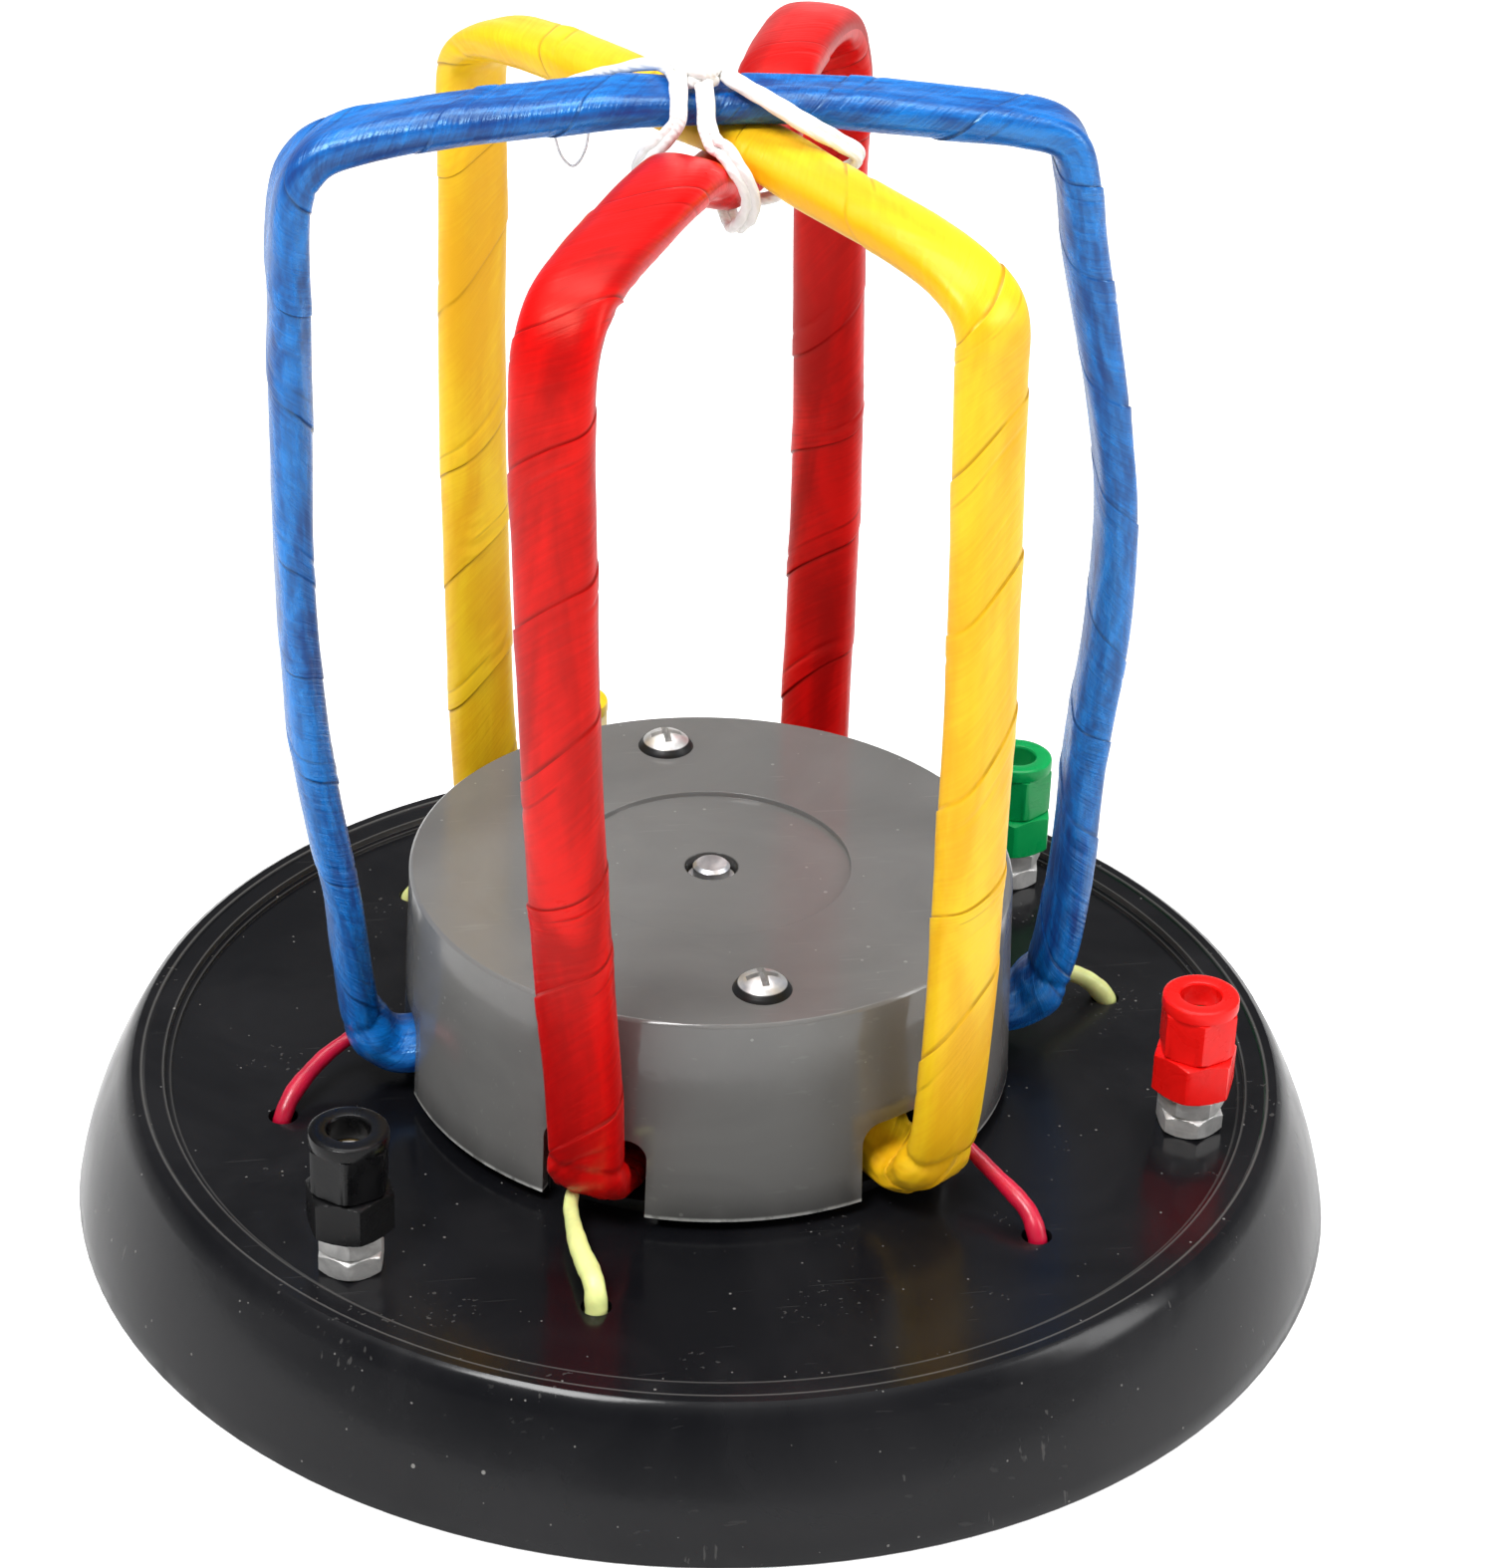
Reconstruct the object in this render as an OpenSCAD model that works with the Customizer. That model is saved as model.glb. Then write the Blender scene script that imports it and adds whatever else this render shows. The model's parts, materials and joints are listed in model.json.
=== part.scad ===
// Three-phase motor demonstrator: three ribbon-wrapped coils crossed over a cup on a round base,
// with four screw-down binding posts and a bearing spindle for the rotor. Millimetres, +Z up,
// origin at the centre of the foot.

/* [Base] */
// Diameter of the base at its foot
base_d = 200; // [198:1:208]
// How far the outer edge of the rim lies inside the foot
rim_inset = 8.6; // [7:0.1:8.6]
// Height of the rim above the foot
rim_h = 22.3; // [22:0.1:25]
// How far the skirt bulges outside a straight cone
skirt_bulge = 1.2; // [0.4:0.2:2]
// Width of the raised outer bead of the rim
bead_w = 2.2; // [1.6:0.2:2.6]
// Depth of the flat band inside the bead
band_drop = 0.4; // [0.2:0.1:0.6]
// Width of the flat band
band_w = 3.4; // [3:0.2:3.8]
// Width of the narrow ledge at the foot of the rim's inner wall
ledge_w = 1.1; // [0.8:0.1:1.4]
// Height of that ledge above the deck
ledge_h = 0.6; // [0.4:0.1:0.8]
// Depth of the deck below the rim
deck_drop = 2; // [1.5:0.1:2.4]
// Thickness of the deck
deck_t = 2.4; // [2:0.1:2.8]
// Thickness of the skirt
skirt_t = 2.4; // [2:0.1:3]
// Height of the round pad under the cup
pad_h = 2; // [1.5:0.1:2.5]
// Thickness of the bottom cover
cover_t = 2; // [1.6:0.1:2.2]
// How far the bottom cover sits above the foot
cover_rise = 1.4; // [1:0.1:1.6]
// Radial gap around the bottom cover
cover_gap = 0.4; // [0.3:0.1:0.6]
// How far the circle of the cover screws lies inside the foot's edge
cover_screw_inset = 14; // [13:0.5:15]
// Outside diameter of the bosses for the cover screws
cover_boss_d = 8; // [7:0.5:8.5]
// Diameter of the cover screws
cover_screw_d = 3; // [2.5:0.1:3.5]
// Head diameter of the cover screws
cover_head_d = 5.6; // [5:0.1:6]

/* [Cup] */
// Outside diameter of the cup at its foot
cup_foot_d = 96.4; // [95:0.2:97.6]
// Outside diameter of the cup at its top
cup_top_d = 93.8; // [93:0.2:94.6]
// Height of the cup
cup_h = 34.1; // [33.5:0.1:36]
// Thickness of the cup's wall
cup_wall = 2.2; // [1.8:0.1:2.6]
// Thickness of the cup's top
cup_top_t = 3; // [2.6:0.1:3.2]
// Diameter of the shallow recess in the top
recess_d = 43.4; // [40:0.2:48]
// Depth of the shallow recess
recess_depth = 0.9; // [0.6:0.1:1.1]
// Width of each foot notch that a coil passes through
notch_w = 16.5; // [15.5:0.1:18]
// Height of the foot notches
notch_h = 13; // [12.5:0.1:15]
// Corner radius at the top of a notch
notch_corner = 3; // [2:0.1:4]
// Distance of the cup screws from the axis
cup_screw_r = 37.2; // [36:0.1:38]
// Direction of the first cup screw, in degrees
cup_screw_az = 92.5; // [88:0.5:93]
// Diameter of the cup screws
cup_screw_d = 4; // [3.5:0.1:4.2]
// Head diameter of the cup screws
cup_head_d = 9; // [8:0.1:9.5]
// Head height of the cup screws
cup_head_h = 2.7; // [2.2:0.1:3]
// Outside diameter of the pillars inside the cup
pillar_d = 9.4; // [9:0.1:9.8]

/* [Spindle] */
// Diameter of the spindle
spindle_d = 5.8; // [5:0.1:6]
// How far the spindle's tip stands above the recess
spindle_proud = 0.6; // [0.2:0.1:1]
// Diameter of the hole around the spindle's tip
spindle_hole_d = 8.3; // [8:0.1:8.8]
// Depth of that hole down to the bearing bush
bush_depth = 3; // [2.8:0.1:3.2]
// Outside diameter of the bearing bush
bush_d = 10; // [9.4:0.1:11]
// Length of the bearing bush
bush_len = 8; // [7:0.1:8.2]
// Outside diameter of the boss that holds the bush
boss_d = 15; // [13.5:0.1:16]
// Radial running clearance of the spindle in its bush
run_gap = 0.04; // [0.02:0.01:0.08]
// Diameter of the spindle's thrust collar
thrust_d = 7.4; // [7:0.1:7.6]
// Height of the thrust collar
thrust_h = 1.2; // [0.8:0.1:1.6]
// Outside diameter of the retaining clip
clip_d = 8.6; // [8:0.1:9]
// Thickness of the retaining clip
clip_t = 0.6; // [0.5:0.05:0.7]

/* [Binding posts] */
// How far the circle of the posts lies inside the deck's edge
post_inset = 7.2; // [6.9:0.1:8.2]
// Diameter of the threaded studs
stud_d = 6; // [5.8:0.1:6.1]
// Diameter of the plug socket in each stud
socket_d = 4; // [3.8:0.1:4.2]
// Depth of the plug socket
socket_depth = 16; // [12:0.5:18]
// Size across the flats of the hexagon nuts
nut_af = 9.2; // [9:0.1:9.6]
// Thickness of the hexagon nuts
nut_t = 3.6; // [3:0.1:4]
// Size across the flats of the fixed collar
collar_af = 11.8; // [11:0.1:12.4]
// Height of the fixed collar
collar_h = 7; // [6:0.1:8]
// Size across the flats of the cap
cap_af = 10.8; // [10.6:0.1:11.6]
// Height of the cap
cap_h = 9.8; // [9.4:0.1:11]
// Diameter of the cap's round head
cap_head_d = 11.9; // [11.4:0.1:12.6]
// Height of the cap's round head
cap_head_h = 2.2; // [1.6:0.1:2.6]
// Diameter of the plug hole in the cap
cap_hole_d = 6.4; // [6.2:0.1:6.8]
// Outside diameter of the brass insert
insert_d = 8.2; // [7.8:0.1:8.4]
// Length of the brass insert
insert_len = 4.6; // [4:0.1:4.8]
// Radial running clearance of the insert on the stud
thread_gap = 0.05; // [0.03:0.01:0.08]
// Outside diameter of the clamp washer under the cap
clamp_d = 8.8; // [8.4:0.1:9]
// Thickness of the clamp washer
clamp_t = 0.8; // [0.6:0.1:1]
// Outside diameter of the washers under the deck
washer_d = 11; // [10:0.1:12]
// Thickness of the washers under the deck
washer_t = 1; // [0.8:0.1:1.1]
// Thickness of the solder lugs
lug_t = 0.8; // [0.5:0.1:0.9]

/* [Coils] */
// Height from the pad to the top of the crossed coils
cage_h = 161.2; // [158:0.2:168]
// Mean distance of the coil legs outside the foot of the cup
leg_gap = 11.8; // [11.6:0.1:14]
// Width of a wrapped coil
wrap_w = 12; // [11:0.1:12.6]
// Thickness of a wrapped coil
wrap_t = 6.2; // [5.8:0.1:6.3]
// Thickness of a coil where the string squeezes it
tied_t = 5; // [4.8:0.1:5.4]
// Thickness of the ribbon wrapping
ribbon_t = 1.2; // [0.9:0.1:1.4]
// Gap between the ribbon and the winding inside it
core_gap = 0.1; // [0.08:0.01:0.15]
// Gap between one coil and the next where they cross
layer_gap = 0.25; // [0.2:0.05:0.3]

/* [Leads and tie] */
// How far the circle of the lead holes lies inside that of the posts
lead_hole_inset = 9; // [8.3:0.1:9.5]
// Diameter of the lead holes
lead_hole_d = 4.6; // [4.4:0.1:5]
// Turn of each lead hole from its coil leg, in degrees
lead_turn = 7.5; // [7:0.1:8]
// Diameter of the pink sleeving
pink_d = 2.8; // [2.4:0.1:3]
// Diameter of the pale yellow sleeving
pale_d = 3.2; // [2.8:0.1:3.2]
// Diameter of the doubled tie string
string_d = 2.4; // [2:0.1:2.5]

/* [Hidden] */
$fn = 64;
eps = 0.01;
hex = 6;
seam = 0.02;
coil_count = 3;

// Heights of the base
deck_h = rim_h - deck_drop;
deck_low = deck_h - deck_t;
seat = deck_h + pad_h;
cover_top = cover_rise + cover_t;
base_r = base_d / 2;
rim_r = base_r - rim_inset;
cover_screw_r = base_r - cover_screw_inset;
band_r = rim_r - bead_w;
wall_r = band_r - band_w;
deck_r = wall_r - ledge_w;
rim_chamfer = 0.6;
skirt_steps = 8;

// Cup
cup_top = seat + cup_h;
cup_foot_r = cup_foot_d / 2;
cup_top_r = cup_top_d / 2;
cup_ceiling = cup_top - cup_top_t;
recess_floor = cup_top - recess_depth;
notches = 2 * coil_count;
notch_cut = 14;
screw_clear = 0.4;
pad_land = 2;
pad_out_r = cup_foot_r - cup_wall - pad_land;
pad_in_r = cup_screw_r - pillar_d / 2 - pad_land;
cup_edge = 0.5;

// Spindle
bush_top = recess_floor - bush_depth;
bush_low = bush_top - bush_len;
end_play = 0.05;
clip_play = 0.15;
clip_groove = 0.9;
spindle_tail = 0.8;
clip_top = bush_low - clip_play;
spindle_low = clip_top - clip_t - spindle_tail;
spindle_tip = recess_floor + spindle_proud;
tip_chamfer = 0.5;

// Binding posts: red, green, yellow, black
post_r = deck_r - post_inset;
lead_hole_r = post_r - lead_hole_inset;
post_az = [-21.4, 38.6, 98.6, 218.6];
post_colour = ["#e01818", "#0a9a3c", "#f2d21b", "#202022"];
cap_twist = [22, 35, 10, 20];
collar_twist = [5, 20, 40, 38];
nut_twist = [[30, 50], [20, 0], [15, 40], [20, 22]];
nut_base = deck_h;
collar_base = nut_base + 2 * nut_t;
cap_base = collar_base + collar_h + 0.1;
clamp_play = 0.1;
clamp_room_d = clamp_d + 0.4;
clamp_room_h = clamp_t + 3 * clamp_play;
insert_base = cap_base + clamp_room_h;
insert_top = insert_base + insert_len;
stud_top = insert_top - 0.2;
washer_low = deck_low - washer_t;
lug_low = washer_low - lug_t;
backnut_low = lug_low - nut_t;
stud_tail = 1.5;
stud_low = backnut_low - stud_tail;
lug_ring_d = 10;
lug_reach = 11.5;
lug_tab_w = [4, 4, 4, 13];
hole_clear = 0.4;

// Coils: the wrapped section is a rounded oval, flat side in and out
foot_gap = 0.3;
layer = wrap_t + layer_gap;
cage_top = seat + cage_h;
cage_r = cup_foot_r + leg_gap;
coil_az = [-120, -60, 0];
coil_colour = ["#e31414", "#f7cf1e", "#1f76cf"];
section_power = 0.85;
wrap_sides = 12;
core_sides = 6;
squeeze_reach = 22;
coil_steps = 2;

// Height of a coil's centre line where the coils cross, at the top and under the cup
function crown(layer_no) = cage_top - tied_t / 2 - (coil_count - 1 - layer_no) * (tied_t + layer_gap);
function sole(layer_no) = seat + foot_gap + wrap_t / 2 + layer_no * layer;

// Routes of the coils: out from the axis along the coil's direction, sideways, up.
// Each starts under the cup, climbs its back leg, crosses the top and comes down its front leg.
red_top = crown(0);
red_route = [
    [-20, 0, sole(0)], [1 - notch_reach(), -2, seat + 3.9], [6 - cage_r, -3, seat + 6],
    [1.5 - cage_r, -4, seat + 13], [-2 - cage_r, -4.8, seat + 23], [-4 - cage_r, -5.4, seat + 35],
    [-5 - cage_r, -5.6, seat + 52], [-4.6 - cage_r, -5.6, seat + 72],
    [-3 - cage_r, -5.5, red_top - 58], [0 - cage_r, -5.2, red_top - 38],
    [0.8 - cage_r, -5.2, red_top - 22], [0 - cage_r, -5.3, red_top - 10],
    [0 - cage_r, -5.8, red_top - 3.2], [5 - cage_r, -5.8, red_top + 3],
    [14 - cage_r, -5.2, red_top + 5.4], [-34, -3.8, red_top + 6], [-24, -2, red_top + 5.8],
    [-17, -0.6, red_top + 3.8], [-11, 0, red_top + 0.8], [0, 0, red_top], [10, 0, red_top + 0.9],
    [15, 0, red_top + 4], [20, 0, red_top + 5.8], [30, 0, red_top + 6], [41, 0, red_top + 5.2],
    [cage_r - 8, 0, red_top + 4.4], [cage_r + 0.6, 0, red_top + 2], [cage_r + 5, 0, red_top - 4],
    [cage_r + 5.8, 0, red_top - 13], [cage_r + 5, 0, red_top - 26],
    [cage_r + 3.4, 0, red_top - 46], [cage_r + 1.2, 0, red_top - 66],
    [cage_r - 1.8, 0, seat + 60], [cage_r - 4.6, 0, seat + 42], [cage_r - 7.6, 0, seat + 26],
    [cage_r - 9, 0, seat + 15], [cage_r - 10.4, 0, seat + 8], [notch_reach() - 3, 0, seat + 4],
    [20, 0, sole(0)], [0, 0, sole(0)]
];
yellow_top = crown(1);
yellow_route = [
    [-14, 0, sole(1)], [-26, 0, sole(1) - 2], [-notch_reach(), 0, seat + 4.2],
    [6 - cage_r, 0, seat + 6.6], [2.4 - cage_r, 0, seat + 13], [0.8 - cage_r, 0, seat + 24],
    [-0.6 - cage_r, 0, seat + 40], [-1.7 - cage_r, 0, seat + 62], [-2.6 - cage_r, 0, seat + 84],
    [-2.6 - cage_r, 0, yellow_top - 48], [-2.2 - cage_r, 0, yellow_top - 26],
    [-2.6 - cage_r, 0, yellow_top - 14], [-1.4 - cage_r, 0, yellow_top - 6.4],
    [4.6 - cage_r, 0, yellow_top - 2], [14 - cage_r, 0, yellow_top - 0.4],
    [-32, 0, yellow_top + 0.4], [-18, 0, yellow_top + 0.4], [-8, 0, yellow_top],
    [3, 0, yellow_top], [10, 0, yellow_top - 0.6], [18, 0, yellow_top - 1.6],
    [28, 0, yellow_top - 2.2], [cage_r - 21, 0, yellow_top - 3],
    [cage_r - 11, 0, yellow_top - 5.2], [cage_r - 5.4, 0, yellow_top - 9.6],
    [cage_r - 4.7, 0, yellow_top - 20], [cage_r - 3.6, 0, yellow_top - 44],
    [cage_r - 2.5, 0, yellow_top - 68], [cage_r - 2.5, 0, seat + 62],
    [cage_r - 2.6, 0, seat + 40], [cage_r - 3.4, 0, seat + 22],
    [cage_r - 4.8, 0, seat + 12], [cage_r - 8, 0, seat + 6], [notch_reach(), 0, seat + 4],
    [26, 0, sole(1) - 2], [14, 0, sole(1)], [0, 0, sole(1)]
];
blue_top = crown(2);
blue_route = [
    [-14, 0, sole(2)], [-25, 0, sole(2) - 4], [-36, 0, seat + 7], [1 - notch_reach(), 0, seat + 4.4],
    [9.4 - cage_r, 0, seat + 4.6], [5.4 - cage_r, 0, seat + 9], [4 - cage_r, 0, seat + 16],
    [2.4 - cage_r, 0, seat + 32], [-0.6 - cage_r, 0, seat + 50], [-2.6 - cage_r, 0, seat + 68],
    [-3.4 - cage_r, 0, blue_top - 70], [-3.4 - cage_r, 0, blue_top - 48],
    [-3.2 - cage_r, 0, blue_top - 28], [-2.6 - cage_r, 0, blue_top - 13],
    [0.4 - cage_r, 0, blue_top - 6.8], [6 - cage_r, 0, blue_top - 4.2],
    [16 - cage_r, 0, blue_top - 2.4], [-32, 0, blue_top - 1.2], [-18, 0, blue_top],
    [-6, 0, blue_top], [6, 0, blue_top - 0.2], [18, 0, blue_top - 1.4],
    [30, 0, blue_top - 2.8], [cage_r - 19, 0, blue_top - 4.4], [cage_r - 12, 0, blue_top - 7],
    [cage_r - 9.6, 0, blue_top - 14], [cage_r - 7.8, 0, blue_top - 24],
    [cage_r - 5.4, 0, blue_top - 35], [cage_r - 2.4, 0, blue_top - 49],
    [cage_r, 0, blue_top - 65], [cage_r + 0.4, 0, seat + 74],
    [cage_r - 1.6, 0, seat + 50], [cage_r - 2.6, 0, seat + 26], [cage_r - 4.6, 0, seat + 12],
    [cage_r - 8, 0, seat + 6], [notch_reach(), 0, seat + 4.4], [37, 0, seat + 6.4],
    [25, 0, sole(2) - 4], [14, 0, sole(2)], [0, 0, sole(2)]
];
function notch_reach() = cup_foot_r - 2;

// Leads: distance from the axis, direction and height, from under the ribbon to the solder lug
pink_z = lug_low - clamp_play - pink_d / 2;
pale_z = lug_low - clamp_play - pale_d / 2;
lane_z = 9.5;
lane_step = 15;
lug_end_r = post_r - 7.5;
lane_gap = 6;
lane = [for (k = [1 : 3]) lug_end_r - k * lane_gap];
common_spread = 4;
hole_az = [for (k = [0 : notches - 1]) k * 360 / notches + lead_turn];
red_start_route = concat(
    [[cage_r + 1.5, 65, seat + 8], [cage_r + 4.5, 66.5, seat + 3.5]],
    under_deck(hole_az[1], post_az[0], lane[0], pink_z));
yellow_start_route = concat(
    [[cage_r - 7.8, 310.2, seat + 5], [cage_r - 3.5, 309.8, seat + 3.4],
     [cage_r + 5.2, 308.4, seat + 1]],
    under_deck(hole_az[5], post_az[2] + 360, lane[2], pink_z));
blue_start_route = concat(
    [[cage_r - 4, 178, seat + 5], [cage_r + 1, 181, seat + 3], [cage_r + 6, 185.4, seat + 0.9]],
    under_deck(hole_az[3], post_az[1], lane[1], pink_z));
red_end_route = concat(
    [[cage_r - 10.2, 237.2, seat + 3], [cage_r - 7, 238.6, seat + 2.2],
     [cage_r - 1, 242.4, seat + 0.8], [lead_hole_r - 2, 246.6, seat + 1]],
    under_deck(hole_az[4], post_az[3] + common_spread, lane[0], pale_z));
yellow_end_route = concat(
    [[cage_r - 3, 124, seat + 8], [cage_r + 3, 126, seat + 3.4]],
    under_deck(hole_az[2], post_az[3] - common_spread, lane[0], pale_z));
blue_end_route = concat(
    [[cage_r - 4, 6.4, seat + 8], [cage_r + 1, 7.6, seat + 4.4], [cage_r + 5.5, 8, seat + 1.4]],
    under_deck(hole_az[0], post_az[3] - 360, lane[1], pale_z));

// Down through the deck hole, along a lane under the deck and out to the lug
function under_deck(from_az, to_az, lane_r, z) = let (
    turns = max(1, ceil(abs(to_az - from_az) / lane_step))
) concat(
    [[lead_hole_r, from_az, deck_h], [lead_hole_r, from_az, deck_low],
     [lead_hole_r - 2, from_az, z], [lane_r + 2, from_az, z - 0.5]],
    [for (i = [0 : turns]) [lane_r, from_az + (to_az - from_az) * i / turns, lane_z]],
    [[lane_r + 1.5, to_az, z - 1], [lane_r + 4, to_az, z], [lug_end_r, to_az, z]]
);

// The doubled string lashes the three coils where they cross: x, y and height. It comes along
// the blue coil, goes down on the left, under, up on the right, down at the back and up in front.
tie_top = cage_top;
tie_low = red_top - tied_t / 2;
tie_route = [
    [-25, 8.6, tie_top - 3.7], [-20.5, 8.2, tie_top - 1.9], [-14.5, 7.2, tie_top - 0.1],
    [-10, 4, tie_top + 1.6], [-8.6, -0.6, tie_top + 1.9], [-8.9, -5.4, tie_top + 1],
    [-9.4, -8.2, tie_top - 2.5], [-11.2, -7.4, tie_top - 5.6], [-13, -4.9, tie_low + 7],
    [-13.6, -1, tie_low + 2.6], [-10.5, 0.4, tie_low - 1], [-5, 0.4, tie_low - 1.8],
    [0, 0, tie_low - 1.8], [5, -1.6, tie_low - 1.4], [8.6, -3.4, tie_low + 1.4],
    [12, -5.8, tie_low + 3.4], [15, -8.4, tie_low + 5.6], [16, -10.2, tie_low + 8],
    [13, -10.2, tie_top - 5.4], [8.4, -9.9, tie_top - 2.8],
    [3.6, -7.6, tie_top - 0.2], [-0.6, -4, tie_top + 1.5], [-2, 0.4, tie_top + 1.8],
    [-1.8, 5, tie_top + 1.2], [-0.4, 9.8, tie_top - 1.3], [0.8, 14, tie_top - 5.4],
    [-0.1, 16.8, tie_low + 6.2], [0, 15.4, tie_low + 1.4], [0.2, 10, tie_low - 3],
    [0, 4, tie_low - 4.9], [-0.2, -4, tie_low - 4.7], [-0.2, -9.4, tie_low - 1.9],
    [-0.1, -12.6, tie_low], [0, -15.4, tie_low + 3.2], [-0.9, -17.8, tie_low + 6.6],
    [-2.5, -18.3, tie_top - 6], [-4, -16.4, tie_top - 4], [-4.9, -12.8, tie_top - 4.2],
    [-5.4, -9.4, tie_top - 2.9], [-5.3, -6.4, tie_top + 0.6],
    [-5.2, -2.4, tie_top + 1.7]
];
tie_steps = 2;
tie_sides = 6;

// Vectors and smooth curves
function unit(v) = v / norm(v);
function spline(a, b, c, d, u) =
    0.5 * (2 * b + (c - a) * u + (2 * a - 5 * b + 4 * c - d) * u * u
    + (3 * b - a - 3 * c + d) * u * u * u);
function closed_curve(p, n) = let (m = len(p)) [
    for (i = [0 : m - 1]) for (k = [0 : n - 1])
        spline(p[(i + m - 1) % m], p[i], p[(i + 1) % m], p[(i + 2) % m], k / n)
];
function open_curve(p, n) = let (m = len(p)) concat([
    for (i = [0 : m - 2]) for (k = [0 : n - 1])
        spline(p[max(i - 1, 0)], p[i], p[i + 1], p[min(i + 2, m - 1)], k / n)
], [p[m - 1]]);
function polar(p) = [p[0] * cos(p[1]), p[0] * sin(p[1]), p[2]];
function headings(p, closed) = let (m = len(p)) [
    for (i = [0 : m - 1]) unit(closed ? p[(i + 1) % m] - p[(i + m - 1) % m]
                                      : p[min(i + 1, m - 1)] - p[max(i - 1, 0)])
];
// Side vectors that turn as little as they can from one ring to the next
function carried(t, v, i = 0) = i == len(t) ? [] :
    let (w = unit(v - (v * t[i]) * t[i])) concat([w], carried(t, w, i + 1));
function oval(w, h, n) = [for (i = [0 : n - 1]) let (a = 360 * i / n, c = cos(a), s = sin(a))
    [w / 2 * sign(c) * pow(abs(c), section_power), h / 2 * sign(s) * pow(abs(s), section_power)]];
function round_section(d, n) = [for (i = [0 : n - 1]) d / 2 * [cos(360 * i / n), sin(360 * i / n)]];
function rings(p, t, s, outline) = [for (i = [0 : len(p) - 1]) let (b = cross(t[i], s[i]))
    for (q = outline) p[i] + s[i] * q[0] + b * q[1]];
// The same, thinner where the string squeezes the crossed coils
function squeezed(p) = let (
    reach = norm([p[0], p[1]]) / squeeze_reach, high = p[2] > seat + cage_h / 2
) high && reach < 1 ? 1 - (1 - tied_t / wrap_t) * pow(1 - reach * reach, 2) : 1;
function coil_rings(p, t, s, outline) = [for (i = [0 : len(p) - 1]) let (
    b = cross(t[i], s[i]) * squeezed(p[i])
) for (q = outline) p[i] + s[i] * q[0] + b * q[1]];
// Two triangles for each cell between ring i and ring j of n points
function band(i, j, n, flip = false) = [for (k = [0 : n - 1]) let (
    a = i * n + k, b = i * n + (k + 1) % n, c = j * n + (k + 1) % n, d = j * n + k
) each flip ? [[a, b, c], [a, c, d]] : [[a, c, b], [a, d, c]]];

// A closed tube round a loop
module loop_tube(p, side, outline) {
    t = headings(p, true);
    s = [for (v = t) unit(side - (side * v) * v)];
    m = len(p);
    polyhedron(coil_rings(p, t, s, outline),
        [for (i = [0 : m - 1]) each band(i, (i + 1) % m, len(outline), true)]);
}

// A solid tube from end to end
module cord_tube(p, d, sides, first_side) {
    t = headings(p, false);
    s = carried(t, first_side);
    m = len(p);
    last = (m - 1) * sides;
    polyhedron(rings(p, t, s, round_section(d, sides)), concat(
        [for (i = [0 : m - 2]) each band(i, i + 1, sides, true)],
        [for (k = [1 : sides - 2]) [0, k + 1, k]],
        [for (k = [1 : sides - 2]) [last, last + k, last + k + 1]]));
}

// A ribbon sleeve: outer and inner skins joined by a flat ring at each end
module sleeve_tube(p, side, outer, inner) {
    t = headings(p, false);
    s = [for (v = t) unit(side - (side * v) * v)];
    m = len(p);
    n = len(outer);
    k0 = m * n;
    inner_cells = [for (f = [for (i = [0 : m - 2]) each band(i, i + 1, n, false)]) [for (v = f) v + k0]];
    function rim_ring(i, flip) = [for (k = [0 : n - 1]) let (
        a = i * n + k, b = i * n + (k + 1) % n
    ) each flip ? [[a, b, b + k0], [a, b + k0, a + k0]] : [[a, b + k0, b], [a, a + k0, b + k0]]];
    polyhedron(concat(coil_rings(p, t, s, outer), coil_rings(p, t, s, inner)), concat(
        [for (i = [0 : m - 2]) each band(i, i + 1, n, true)], inner_cells,
        rim_ring(0, false), rim_ring(m - 1, true)));
}

// Least gap between far stretches of a tube
function least_gap(p, d, apart) = min([for (i = [0 : len(p) - 1]) for (j = [i + apart : 1 : len(p) - 1])
    norm(p[i] - p[j])]) - d;

// Radius of the skirt at a height
function skirt_r(z) = let (u = z / rim_h)
    base_r + (rim_r - base_r) * u + 4 * skirt_bulge * u * (1 - u);

module at_polar(r, az) rotate(az) translate([r, 0, 0]) children();
module ring(d_out, d_in, h) difference() {
    cylinder(d = d_out, h = h);
    translate([0, 0, -eps]) cylinder(d = d_in, h = h + 2 * eps);
}
module hex_block(af, h) cylinder(d = af / cos(180 / hex), h = h, $fn = hex);
module hex_nut(af, bore, h) difference() {
    hex_block(af, h);
    translate([0, 0, -eps]) cylinder(d = bore, h = h + 2 * eps);
}

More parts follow.
